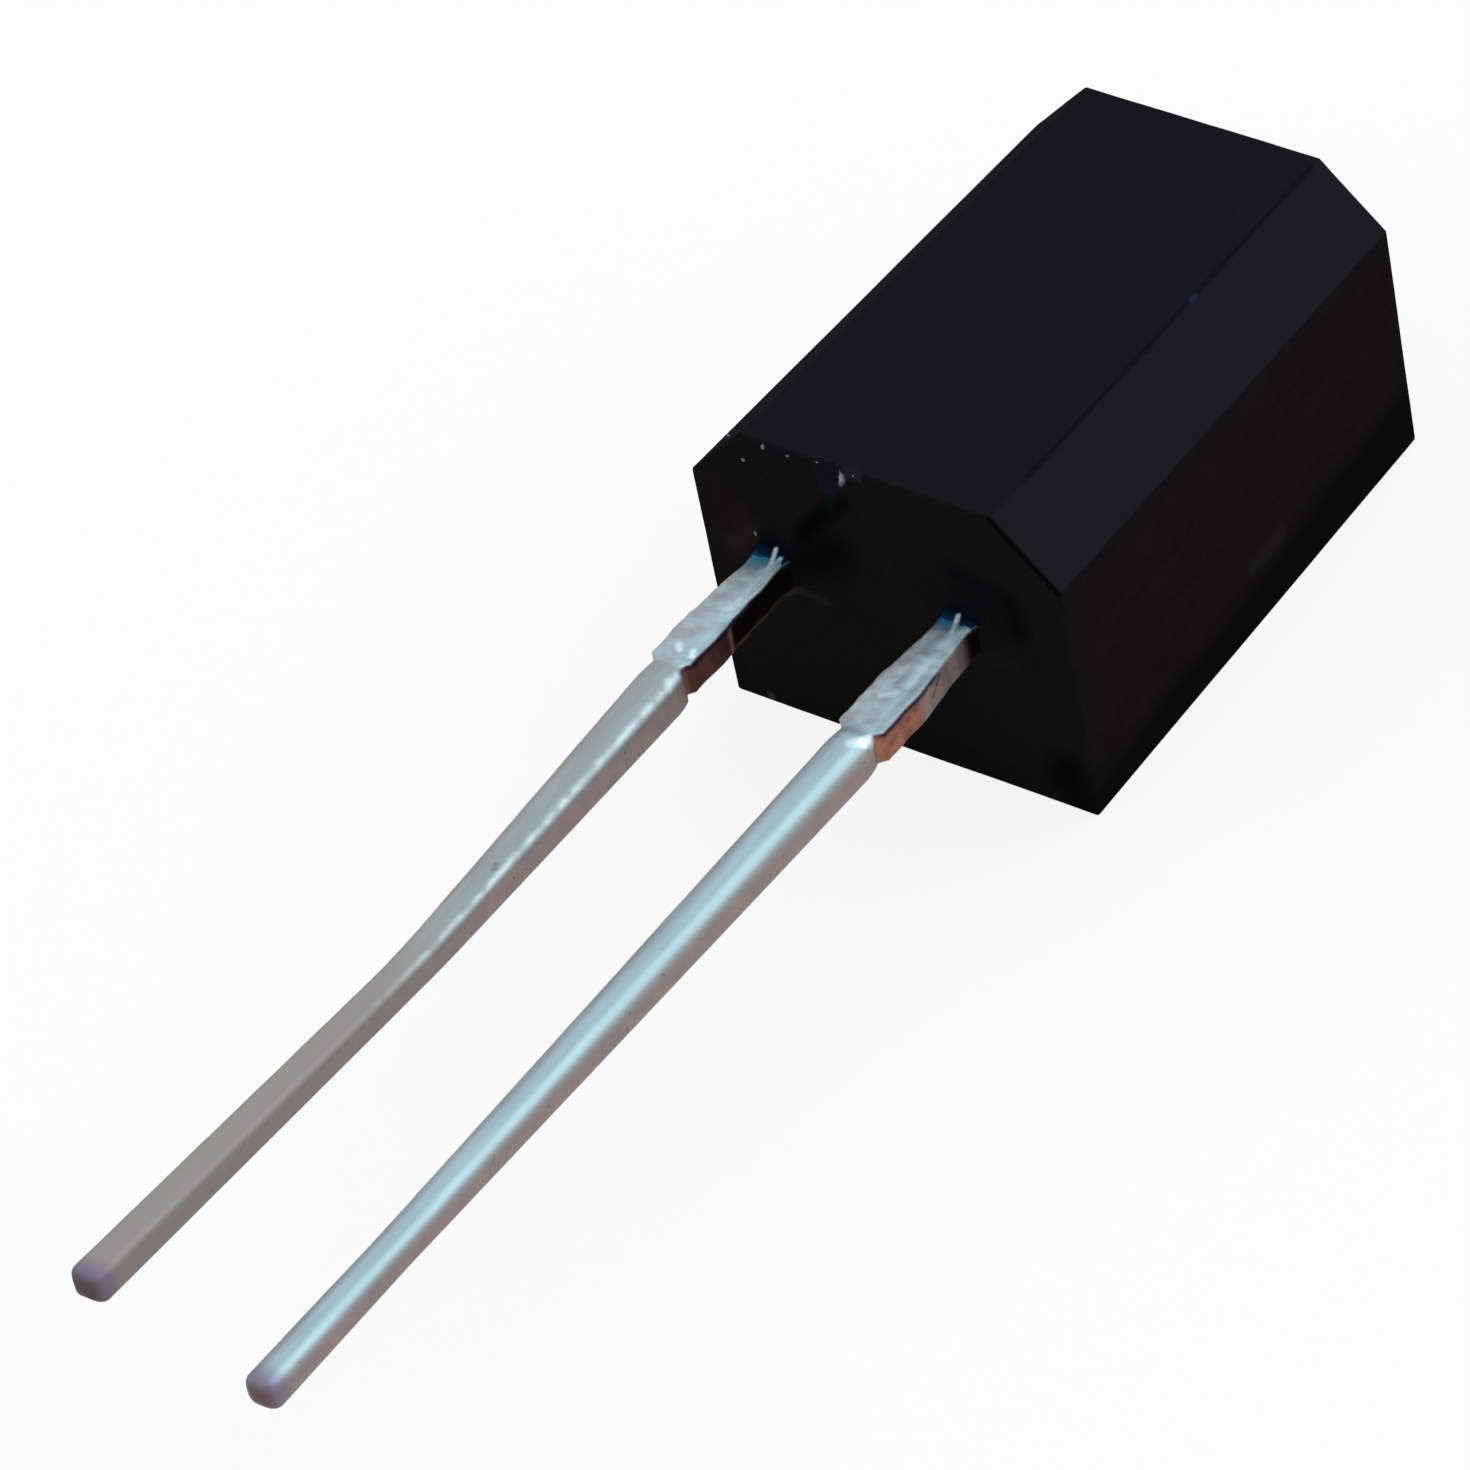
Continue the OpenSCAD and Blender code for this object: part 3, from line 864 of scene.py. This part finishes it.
    def collar_points(self, lead_x: float) -> list[tuple[float, float]]:
        """Places round one lead, closer together where the fillet is steep."""
        places = []
        for tilt in np.linspace(4, 74, 15):
            gap = self.fillet_r * (1 - math.cos(math.radians(tilt)))
            for k in range(72):
                a = 2 * math.pi * (k + 0.5) / 72
                sx, sz = math.copysign(1, math.cos(a)), math.copysign(1, math.sin(a))
                core_x, core_z = self.neck[0] / 2 - 0.04, self.neck[1] / 2 - 0.04
                r = 0.04 + gap
                wx = min(1.0, abs(math.cos(a)) / 0.55)
                wz = min(1.0, abs(math.sin(a)) / 0.55)
                places.append((lead_x + sx * core_x * wx + r * math.cos(a),
                               self.frame_z + sz * core_z * wz + r * math.sin(a)))
        return places

    def build(self) -> bpy.types.Object:
        """Makes the block's mesh, closed and with marks for its faces.

        Returns:
            The block.
        """
        rings, kinds = [], None
        blunt = math.radians(self.rim_blunt)
        angles = [blunt * k / self.rim_steps for k in range(self.rim_steps + 1)]
        for a in reversed(angles):
            y = self.lead_end + self.edge_r * (1 - math.sin(a) / math.sin(blunt))
            points, kinds = self.ring(0.0, self.edge_r * math.cos(a), y)
            rings.append(points)
        start, stop = self.lead_end + self.edge_r, -self.lead_end - self.edge_r
        for share in np.linspace(0, 1, 74)[1:-1]:
            y = start + (stop - start) * share
            rings.append(self.ring((y - self.lead_end) / self.length, self.edge_r, y)[0])
        for a in angles:
            y = -self.lead_end - self.edge_r * (1 - math.sin(a) / math.sin(blunt))
            rings.append(self.ring(1.0, self.edge_r * math.cos(a), y)[0])
        around = len(rings[0])
        points = list(np.concatenate(rings))
        faces = grid_faces(len(rings), around)
        near = self.cap(points, 0, around, True)
        far = self.cap(points, (len(rings) - 1) * around, around, False)
        faces += [tuple(f) for f in near] + [tuple(reversed(f)) for f in far]
        points = np.array(points)
        marks = self.marks(points, np.tile(kinds, len(rings)), around * len(rings))
        return mesh_piece("moulded_body", points, faces, marks, crease=50.0)

    def cap(self, points: list, first: int, around: int, cast: bool) -> list:
        """Fills one end with a fine mesh and gives the cast end its height.

        Args:
            points: all points so far, which the new ones join.
            first: number of the end ring's first vertex.
            around: points in that ring.
            cast: True at the lead end.

        Returns:
            The new faces, counterclockwise in x and z.
        """
        rim = np.array(points[first:first + around])[:, (0, 2)]
        step = 0.07 if cast else 0.16
        xs = np.arange(rim[:, 0].min(), rim[:, 0].max(), step)
        zs = np.arange(rim[:, 1].min(), rim[:, 1].max(), step)
        spots = np.array([(x + (step / 2 if j % 2 else 0), z) for j, z in enumerate(zs) for x in xs])
        keep = self.inside(spots, rim, 0.03)
        if cast:
            for side in (-1, 1):
                keep &= self.neck_gap(spots[:, 0], spots[:, 1], side * self.lead_x) > 0.36
        spots = spots[keep]
        if cast:
            collars = np.array(self.collar_points(-self.lead_x) + self.collar_points(self.lead_x))
            spots = np.concatenate([spots, collars, self.rim_band(rim)])
        flat = [Vector(p) for p in np.concatenate([rim, spots])]
        edges = [(i, (i + 1) % around) for i in range(around)]
        placed, _, faces, origin, _, _ = delaunay_2d_cdt(flat, edges, [], 1, 1e-6)
        spots = np.array([tuple(p) for p in placed])
        heights = self.rise(spots[:, 0], spots[:, 1], self.rim_gap(spots, rim)) if cast else np.zeros(len(spots))
        numbers = []
        y = points[first][1]
        for spot, height, came in zip(spots, heights, origin):
            if came and came[0] < around:
                numbers.append(first + came[0])
                continue
            numbers.append(len(points))
            points.append(np.array((spot[0], y - height, spot[1])))
        return [[numbers[i] for i in f] for f in faces]

    @staticmethod
    def rim_gap(spots: np.ndarray, rim: np.ndarray) -> np.ndarray:
        """Distance of each place from the nearest part of the rim."""
        a, b = rim, np.roll(rim, -1, axis=0)
        way = b - a
        length = np.maximum((way ** 2).sum(1), 1e-12)
        best = np.full(len(spots), 1e9)
        for i in range(len(a)):
            t = np.clip(((spots - a[i]) @ way[i]) / length[i], 0, 1)
            best = np.minimum(best, np.linalg.norm(spots - a[i] - t[:, None] * way[i], axis=1))
        return best

    def inside(self, spots: np.ndarray, rim: np.ndarray, margin: float) -> np.ndarray:
        """Which places lie inside the rim, at least a margin away from it."""
        a, b = rim, np.roll(rim, -1, axis=0)
        within = np.ones(len(spots), bool)
        for p, q in zip(a, b):
            way = q - p
            size = np.linalg.norm(way)
            if size > 1e-9:
                within &= (way[0] * (spots[:, 1] - p[1]) - way[1] * (spots[:, 0] - p[0])) / size > -1e-6
        return within & (self.rim_gap(spots, rim) > margin)

    @staticmethod
    def rim_band(rim: np.ndarray) -> np.ndarray:
        """Two rows of places just inside the rim, which carry its lip."""
        centre = rim.mean(0)
        rows = []
        for depth in (0.06, 0.11):
            away = rim - centre
            rows.append(rim - away / np.linalg.norm(away, axis=1)[:, None] * depth)
        return np.concatenate(rows)

    def marks(self, points: np.ndarray, kinds: np.ndarray, walls: int) -> dict[str, np.ndarray]:
        """Marks for the finish: which face a vertex is on.

        Args:
            points: all vertices.
            kinds: side number of each wall vertex, with a fraction on edges.
            walls: how many vertices the walls have; the rest are end caps.

        Returns:
            The marks by name.
        """
        count = len(points)
        front, chamfer = np.zeros(count), np.zeros(count)
        front[:walls] = 1 - np.clip(np.abs(kinds - 3), 0, 1)
        chamfer[:walls] = np.maximum(1 - np.clip(np.abs(kinds - 2), 0, 1), 1 - np.clip(np.abs(kinds - 4), 0, 1))
        cast = 1 - smooth_step(self.lead_end + 0.02, self.lead_end + self.edge_r, points[:, 1])
        return {"front": front, "chamfer": chamfer, "cast": cast, "relief": np.ones(count),
                "chip": np.zeros(count), "glint": np.zeros(count)}


@dataclass
class RimChip:
    """The chip that is broken out of the block's rim, with the shell-like hollow of brittle resin.

    Sizes are in millimetres.
    """

    at: tuple[float, float, float] = (-0.46, -3.535, 4.15)
    radii: tuple[float, float, float] = (0.18, 0.105, 0.44)
    tilt: float = 13.0
    lump: float = 0.10
    seed: float = 4.2

    def cut(self, body: bpy.types.Object) -> None:
        """Takes the chip out of the block and marks its broken face.

        Args:
            body: the block, whose mesh is changed.
        """
        form = bmesh.new()
        bmesh.ops.create_icosphere(form, subdivisions=4, radius=1.0)
        unit = np.array([v.co[:] for v in form.verts])
        faces = [[v.index for v in f.verts] for f in form.faces]
        form.free()
        swell = 1 + self.lump * wander(unit, 0.8, self.seed) + 0.4 * self.lump * wander(unit, 0.25, self.seed)
        points = unit * swell[:, None] * np.array(self.radii)
        turn = Matrix.Rotation(math.radians(self.tilt), 3, "Y")
        points = np.array([turn @ Vector(p) for p in points]) + np.array(self.at)
        stone = mesh_piece("chip_cutter", points, faces)
        stone.data.materials.append(body.data.materials[0])
        modifier = body.modifiers.new("chip", "BOOLEAN")
        modifier.operation = "DIFFERENCE"
        modifier.solver = "EXACT"
        modifier.object = stone
        keep_result(body, modifier)
        body.data.set_sharp_from_angle(angle=math.radians(40))
        self.mark(body.data, turn)
        bpy.data.objects.remove(stone)

    def mark(self, mesh: bpy.types.Mesh, turn: Matrix) -> None:
        """Marks the broken face and the painted glint on its right wall.

        Args:
            mesh: the block's mesh, with the chip taken out.
            turn: how the chip is tilted.
        """
        places = np.empty(len(mesh.vertices) * 3)
        mesh.vertices.foreach_get("co", places)
        local = (places.reshape(-1, 3) / MM - np.array(self.at)) @ np.array(turn) / np.array(self.radii)
        length = np.linalg.norm(local, axis=1)
        chip = smooth_step(1.16, 1.08, length)
        unit = local / np.maximum(length, 1e-9)[:, None]
        glint = chip * smooth_step(0.70, 0.90, unit[:, 0]) * smooth_step(-0.55, -0.40, unit[:, 2])
        for name, values in (("chip", chip), ("glint", glint * smooth_step(0.10, -0.10, unit[:, 2]))):
            mesh.attributes[name].data.foreach_set("value", values.astype(np.float32))


@dataclass
class RimFlash:
    """Crumbs of resin flash left on the block's rim, set out by Geometry Nodes. Sizes are in millimetres."""

    size: float = 0.031
    seed: int = 11

    @staticmethod
    def crumbs() -> tuple[np.ndarray, np.ndarray]:
        """Place and relative size of each crumb."""
        places = [(-1.354, -3.492, 4.135), (-1.36, -3.488, 4.165), (-1.014, -3.493, 4.128), (-1.687, -3.478, 3.821),
                  (-1.676, -3.476, 3.800), (-0.127, -3.49, 4.159), (-0.62, -3.485, 4.168), (-1.700, -3.530, 2.735),
                  (-2.010, -3.30, 3.905), (-0.36, -3.47, 4.04)]
        sizes = [1.2, 0.6, 0.9, 1.0, 0.6, 0.55, 0.55, 0.9, 0.7, 0.4]
        return np.array(places), np.array(sizes)

    def tree(self) -> bpy.types.NodeTree:
        """Builds the Geometry Nodes tree that puts a torn crumb on each point.

        Returns:
            The tree.
        """
        tree, given = open_tree("rim_flash", {"Size": "Float", "Seed": "Int", "Material": "Material"})
        crumb = add(tree, "GeometryNodeMeshIcoSphere", {"Radius": 1.0, "Subdivisions": 3})
        turn, squash = (
            add(tree, "FunctionNodeRandomValue", {0: low, 1: high, "Seed": given.outputs["Seed"]},
                data_type="FLOAT_VECTOR").outputs[0]
            for low, high in (((-3.1, -3.1, -3.1), (3.1, 3.1, 3.1)), ((0.6, 0.45, 0.8), (1.0, 0.8, 1.3))))
        share = add(tree, "GeometryNodeInputNamedAttribute", {"Name": "size"}, data_type="FLOAT")
        length = add(tree, "ShaderNodeMath", {0: given.outputs["Size"], 1: share.outputs["Attribute"]},
                     operation="MULTIPLY")
        scale = add(tree, "ShaderNodeVectorMath", {0: squash, "Scale": length.outputs[0]}, operation="SCALE")
        spread = add(tree, "GeometryNodeInstanceOnPoints",
                     {"Points": given.outputs["Geometry"], "Instance": crumb.outputs[0], "Rotation": turn,
                      "Scale": scale.outputs[0]})
        real = add(tree, "GeometryNodeRealizeInstances", {"Geometry": spread.outputs[0]})
        place = add(tree, "GeometryNodeInputPosition")
        torn = add(tree, "ShaderNodeTexNoise", {"Vector": place.outputs[0], "Scale": per_mm(0.02), "Detail": 1.0})
        depth = torn.outputs[0]
        for operation, by in (("SUBTRACT", 0.6), ("MULTIPLY", given.outputs["Size"])):
            depth = add(tree, "ShaderNodeMath", {0: depth, 1: by}, operation=operation).outputs[0]
        close_tree(tree, given, real.outputs[0], depth)
        return tree

    def build(self) -> bpy.types.Object:
        """Makes the crumbs' mesh.

        Returns:
            The crumbs, as one piece.
        """
        places, sizes = self.crumbs()
        piece = mesh_piece("rim_flash", places, [], {"size": sizes})
        run_tree(piece, self.tree(), {"Size": self.size * MM, "Seed": self.seed,
                                      "Material": ResinFlash().material()})
        return piece


@dataclass
class TinnedLead:
    """One lead: a stamped strip with the stubs of its tie bar, a tinned pin, and its part inside the epoxy.

    Sizes are in millimetres. Distances "out" count from the body's lead end.
    """

    name: str
    node: str
    plate: Plate
    x: float
    length: float
    stub_left: float
    stub_right: float
    root: float
    waist: float
    waist_out: float
    tip: float
    lean: float
    bend: float
    seed: float
    square: bool
    lead_end: float = -3.5
    frame_z: float = 2.60
    strip_t: float = 0.44
    neck_w: float = 0.45
    flare_out: float = 0.55
    tie_out: float = 1.50
    tie_end: float = 2.32
    stub_bevel: float = 0.10
    shoulder_l: float = 0.25
    pin_flat: float = 0.92
    pin_round: float = 0.32
    tip_l: float = 0.16
    bend_out: float = 6.7
    bend_l: float = 1.2
    corner_steps: int = 5
    side_steps: tuple[int, int] = (9, 7)

    def middle(self, out: np.ndarray) -> np.ndarray:
        """Sideways place of the pin's middle at each distance out."""
        past = out - self.bend_out
        turn = math.tan(math.radians(self.bend))
        bent = np.where(past <= 0, 0, np.where(past < self.bend_l, past ** 2 / (2 * self.bend_l),
                                               past - self.bend_l / 2))
        lean = math.tan(math.radians(self.lean)) * np.maximum(out - self.tie_end, 0)
        return self.x + lean + turn * bent

    def half_widths(self, out: float) -> tuple[float, float]:
        """How far the strip reaches to the left and to the right of its middle.

        Args:
            out: distance from the body's lead end, negative inside the epoxy.

        Returns:
            The reach to the left and to the right.
        """
        near, far, left, right, corner = self.plate.value
        depth = min(-out - near, far + out)
        if depth >= 0:
            pull = corner - math.sqrt(corner ** 2 - max(corner - depth, 0) ** 2)
            return left - pull, right - pull
        half = self.neck_w / 2
        stops = [-9, self.flare_out, self.tie_out, self.tie_end - self.stub_bevel, self.tie_end]
        return tuple(float(np.interp(out, stops, [half, half, stub, stub, stub - self.stub_bevel]))
                     for stub in (self.stub_left, self.stub_right))

    def section(self, out: float) -> tuple[np.ndarray, float]:
        """Outline of the lead at a distance out, counterclockwise in x and z.

        Args:
            out: distance from the body's lead end.

        Returns:
            x and z of each point, and 1 on the strip to 0 on the pin.
        """
        left, right = self.half_widths(out)
        shoulder = self.tie_end + self.shoulder_l
        width = np.interp(out, [self.tie_end, shoulder, self.waist_out, self.length],
                          [self.root * 0.91, self.root, self.waist, self.tip])
        pin = float(smooth_step(self.tie_end - 0.06, self.tie_end + 0.12, np.array(out)))
        left = left * (1 - pin) + width / 2 * pin
        right = right * (1 - pin) + width / 2 * pin
        high = self.strip_t / 2 * (1 - pin) + self.pin_flat * width / 2 * pin
        corner = 0.05 * (1 - pin) + (0.2 if self.square else self.pin_round) * width * pin
        middle = float(self.middle(np.array(out)))
        arcs = []
        for k, (sx, sz) in enumerate(((1, 1), (-1, 1), (-1, -1), (1, -1))):
            a = np.radians(90) * (k + np.linspace(0, 1, self.corner_steps + 1))
            reach = right if sx > 0 else left
            arcs.append(np.stack([sx * (reach - corner) + corner * np.cos(a),
                                  sz * (high - corner) + corner * np.sin(a)], axis=1))
        ring = []
        for k in range(4):
            steps = self.side_steps[k % 2]
            share = (np.arange(1, steps) / steps)[:, None]
            ring += [arcs[k], arcs[k][-1] + (arcs[(k + 1) % 4][0] - arcs[k][-1]) * share]
        return np.concatenate(ring) + np.array((middle, self.frame_z)), 1 - pin

    def stations(self) -> np.ndarray:
        """Distances out at which the strip's and the shaft's sections stand."""
        near, far, _, _, corner = self.plate.value
        ease = corner * np.array([0.0, 0.03, 0.12, 0.3, 0.6, 1.0])
        return np.concatenate([
            -far + ease, np.linspace(-far + corner, -near - corner, 8)[1:-1], -near - ease[::-1], [-near + 0.0005],
            np.arange(-near + 0.2, 0.1, 0.2), np.arange(0.10, 3.0, 0.04),
            np.arange(3.0, self.length - self.tip_l, 0.075)])

    def build(self) -> bpy.types.Object:
        """Makes the lead's mesh with the marks for its finish.

        Returns:
            The lead.
        """
        rings, flats, places = [], [], []
        for out in self.stations():
            ring, flat = self.section(float(out))
            rings.append(ring)
            flats.append(flat)
            places.append(out)
        for angle in np.linspace(8, 86, 10):
            out = self.length - self.tip_l + self.tip_l * math.sin(math.radians(angle))
            ring, flat = self.section(out)
            centre = ring.mean(0)
            rings.append(centre + (ring - centre) * math.cos(math.radians(angle)))
            flats.append(flat)
            places.append(out)
        around, count = len(rings[0]), len(rings)
        points = np.concatenate([
            np.stack([r[:, 0], np.full(len(r), self.lead_end - o), r[:, 1]], axis=1)
            for r, o in zip(rings, places)])
        out = np.repeat(places, around)
        flat = np.repeat(flats, around)
        # The rings run towards -Y, counterclockwise in x and z, so the faces are turned to look outwards.
        faces = grid_faces(count, around)
        faces.append(tuple(reversed(range(around))))
        faces.append(tuple((count - 1) * around + i for i in range(around)))
        faces = [tuple(reversed(f)) for f in faces]
        marks = self.marks(points, out, flat)
        return mesh_piece(self.name, self.unevenness(points, out, flat), faces, marks, crease=60.0)

    def unevenness(self, points: np.ndarray, out: np.ndarray, flat: np.ndarray) -> np.ndarray:
        """Lets the edges of the strip wander and gathers tin in a bead at the shoulder.

        Args:
            points: the vertices.
            out: distance out of each.
            flat: 1 on the strip, 0 on the pin.

        Returns:
            The moved vertices.
        """
        moved = points.copy()
        away = points[:, 0] - self.middle(out)
        line = np.stack([out, np.sign(away) * 3, np.zeros(len(out))], axis=1)
        sideways = wander(line, 0.26, self.seed) * 0.7 + wander(line, 0.11, self.seed + 2) * 0.3 * (away < 0)
        shown = smooth_step(0.35, 0.7, out) * flat
        moved[:, 0] += np.sign(away) * sideways * 0.032 * shown * smooth_step(0.1, 0.2, np.abs(away))
        bead = np.exp(-((out - self.tie_end - 0.05) / 0.14) ** 2)
        up = np.maximum(points[:, 2] - self.frame_z, 0)
        moved[:, 2] += 0.06 * bead * up
        return moved

    def marks(self, points: np.ndarray, out: np.ndarray, flat: np.ndarray) -> dict[str, np.ndarray]:
        """Marks for the finish, from each vertex's place round and along the lead.

        Args:
            points: the vertices.
            out: distance out of each.
            flat: 1 on the strip, 0 on the pin.

        Returns:
            The marks by name.
        """
        x = points[:, 0] - self.middle(out)
        z = points[:, 2] - self.frame_z
        angle = np.degrees(np.arctan2(z, x))
        pin, shown = 1 - flat, smooth_step(0.0, 0.3, out)
        soft = 10.0 if self.square else 24.0
        pin_side = smooth_step(34 + soft, 34 - soft, angle) * smooth_step(-125, -85, angle)
        flank = smooth_step(0.12, 0.18, x) * smooth_step(0.215, 0.19, np.abs(z)) * shown
        cut = smooth_step(self.tie_out - 0.02, self.tie_out + 0.10, out) * \
            smooth_step(self.tie_end + 0.04, self.tie_end - 0.04, out)
        top = smooth_step(0.16, 0.20, z) * flat * shown
        past_bend = smooth_step(self.bend_out - 0.4, self.bend_out + 1.4, out) if self.square else 0.0
        # Right sides of the pins: a painted warm reflection; the strip's sheared flank is brownish of its own.
        side = pin_side * pin * (1 - 0.55 * past_bend) + flank * flat
        ridge = np.exp(-((z - 0.185) / 0.03) ** 2) * smooth_step(0.14, 0.19, x)
        # Painted highlights: along the upper ridge of the square pin, and a streak along the strip's top.
        edge = np.exp(-((angle - 51) / 9) ** 2) * pin * smooth_step(self.length * 0.68, self.length * 0.5, out)
        streak = np.exp(-((x - 0.11) / 0.07) ** 2) * top * smooth_step(1.65, 1.2, out)
        back = smooth_step(0.0, 0.1, out)
        square = float(self.square)
        dull = square * pin * (0.35 + 0.65 * past_bend)
        dark_to = self.tie_out if self.square else 0.62
        fade = 0.05 if self.square else 0.16
        shade = flank * smooth_step(dark_to + fade, dark_to - fade, out)
        lower = square * shade * np.exp(-((z + 0.185) / 0.035) ** 2) * smooth_step(0.3, 0.8, out)
        # Painted blue glow on the strip's top where it enters the resin.
        painted_entry_glow = top * smooth_step(0.66 - 0.9 * np.maximum(x, 0), 0.42 - 0.9 * np.maximum(x, 0), out)
        # Painted highlight band round each pin where the lamp's reflection falls, and on the right part of the
        # strip's top.
        painted_sheen = np.exp(-((angle - 66) / 50) ** 2) * pin * (1 - 0.6 * square) + smooth_step(-0.10, 0.14, x) * flat
        return {"flat": flat, "side": side, "painted_sheen": painted_sheen, "dull": dull,
                "shine": np.clip(streak * 0.8 + edge * square * 0.6, 0, 1), "bare": flank * cut * back,
                "deep": np.full(len(out), 0.85 * square), "shade": shade, "shade_edge": lower,
                "burr": ridge * smooth_step(0.95, 1.25, out) * smooth_step(2.40, 2.2, out), "painted_entry_glow": painted_entry_glow,
                "tip": smooth_step(self.length - 0.40, self.length - 0.14, out) * 0.85,
                "tip_end": smooth_step(self.length - 0.13, self.length, out),
                "relief": (0.22 + 0.78 * flat) * (1 - 0.75 * flank) * smooth_step(0.30, 0.5, out)}


@dataclass
class Studio:
    """Camera, lamps, world and floor. Places of the camera are in millimetres."""

    camera_at: tuple[float, float, float] = (49.980, -60.323, 68.661)
    camera_right: tuple[float, float, float] = (0.81195, 0.56270, -0.15525)
    camera_up: tuple[float, float, float] = (-0.29082, 0.62056, 0.72824)
    lens: float = 220.41
    sensor: float = 36.0
    floor_side: float = 3.0
    ambient: float = 0.55

    def camera(self) -> bpy.types.Object:
        """Puts the camera where the photograph was taken from.

        Returns:
            The camera.
        """
        data = bpy.data.cameras.new("camera")
        data.lens = self.lens
        data.sensor_width = self.sensor
        data.sensor_fit = "HORIZONTAL"
        data.clip_start = 0.001
        data.clip_end = 10.0
        eye = bpy.data.objects.new("camera", data)
        right = Vector(self.camera_right).normalized()
        up = Vector(self.camera_up).normalized()
        back = right.cross(up)
        eye.matrix_world = Matrix.Translation(Vector(self.camera_at) * MM) @ Matrix(
            (right, up, back)).transposed().to_4x4()
        bpy.context.scene.collection.objects.link(eye)
        bpy.context.scene.camera = eye
        return eye

    @staticmethod
    def lamp(name: str, towards: tuple[float, float, float], distance: float, side: float, power: float,
             colour: str) -> bpy.types.Object:
        """Adds a square soft lamp that looks at the object.

        Args:
            name: name of the lamp.
            towards: direction from the object to the lamp.
            distance: how far away it is, in metres.
            side: length of its side, in metres.
            power: its power in watts.
            colour: its colour as sRGB hex.

        Returns:
            The lamp.
        """
        data = bpy.data.lights.new(name, "AREA")
        data.shape = "SQUARE"
        data.size = side
        data.energy = power
        data.color = linear(colour)[:3]
        light = bpy.data.objects.new(name, data)
        way = Vector(towards).normalized()
        light.location = way * distance
        light.rotation_euler = way.to_track_quat("Z", "Y").to_euler()
        bpy.context.scene.collection.objects.link(light)
        return light

    def world(self) -> None:
        """A white surrounding, seen as white and lighting the object at a plain level."""
        world = bpy.data.worlds.new("white_room")
        bpy.context.scene.world = world
        world.use_nodes = True
        tree = world.node_tree
        tree.nodes.clear()
        level = add(tree, "ShaderNodeMapRange", {0: seen_white(tree), 3: self.ambient, 4: 1.0})
        white = add(tree, "ShaderNodeBackground", {"Color": (1, 1, 1, 1), "Strength": level.outputs[0]})
        add(tree, "ShaderNodeOutputWorld", {"Surface": white.outputs[0]})

    def floor(self) -> bpy.types.Object:
        """Lays the pale floor under the object."""
        half = self.floor_side / 2 / MM
        corners = np.array([(-half, -half, 0), (half, -half, 0), (half, half, 0), (-half, half, 0)], float)
        plane = mesh_piece("floor", corners, [(0, 1, 2, 3)])
        plane.data.materials.append(PaleFloor().material())
        return plane

    def build(self) -> None:
        """Sets up the whole studio."""
        scene = bpy.context.scene
        scene.view_settings.view_transform = "Standard"
        self.camera()
        self.world()
        self.floor()
        self.lamp("window_light", (0.206, 0.545, 0.812), distance=0.5, side=0.6, power=1.6, colour="#E2F6FF")
        self.lamp("fill_light", (-0.8, -0.5, 0.45), distance=0.6, side=0.5, power=0.35, colour="#FFF6F0")


def dress(node: str, finish: Finish) -> None:
    """Gives a CAD node that stays as it is a procedural material.

    Args:
        node: name of the CAD node.
        finish: the finish that it gets.
    """
    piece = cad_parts[node]
    piece.data.materials.clear()
    piece.data.materials.append(finish.material())
    LOG.info("%s keeps its CAD mesh, dressed in %s", node, finish.name)


def place(piece: bpy.types.Object, node: str, slot: str) -> None:
    """Lets a finished piece stand for a CAD node and ride on the body.

    Args:
        piece: the finished piece.
        node: the CAD node that it replaces.
        slot: the record's material slot; not used.
    """
    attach(piece, BODY)
    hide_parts(node)
    LOG.info("%s stands for %s: %d faces", piece.name, node, len(piece.data.polygons))


def main() -> None:
    """Builds the sub-assemblies in order."""
    logging.basicConfig(level=logging.INFO, format="%(name)s: %(message)s")
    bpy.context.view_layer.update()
    Studio().build()
    relief = relief_tree()

    body = MouldedBody().build()
    run_tree(body, relief, {"Height": 0.02 * MM, "Feature size": 1.4 * MM, "Stretch along Y": 1.6, "Seed": 3.0,
                            "Material": BlackEpoxy().material()})
    RimChip().cut(body)
    place(body, "package_body", "black_epoxy")
    flash = RimFlash().build()
    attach(flash, BODY)
    LOG.info("%s sits on the rim: %d faces", flash.name, len(flash.data.polygons))

    tin = HotDipTin().material()
    leads = (
        TinnedLead("cathode_lead_tinned", "cathode_lead", Plate.PADDLE, x=-1.27, length=12.84, stub_left=0.33,
                   stub_right=0.23, root=0.54, waist=0.38, waist_out=7.6, tip=0.43, lean=0.6, bend=-4.0, seed=1.7,
                   square=True),
        TinnedLead("anode_lead_tinned", "anode_lead", Plate.POST, x=1.27, length=13.24, stub_left=0.33,
                   stub_right=0.29, root=0.57, waist=0.41, waist_out=10.9, tip=0.44, lean=-1.0, bend=0.0, seed=5.3,
                   square=False),
    )
    for lead in leads:
        piece = lead.build()
        run_tree(piece, relief, {"Height": 0.05 * MM, "Feature size": 0.17 * MM, "Stretch along Y": 1.8,
                                 "Seed": lead.seed, "Material": tin})
        place(piece, lead.node, "tinned_copper")

    dress("photodiode_die", PolishedSilicon())
    dress("die_attach", SilverAdhesive())
    dress("bond_wire", DrawnGold())


if __name__ == "__main__":
    main()
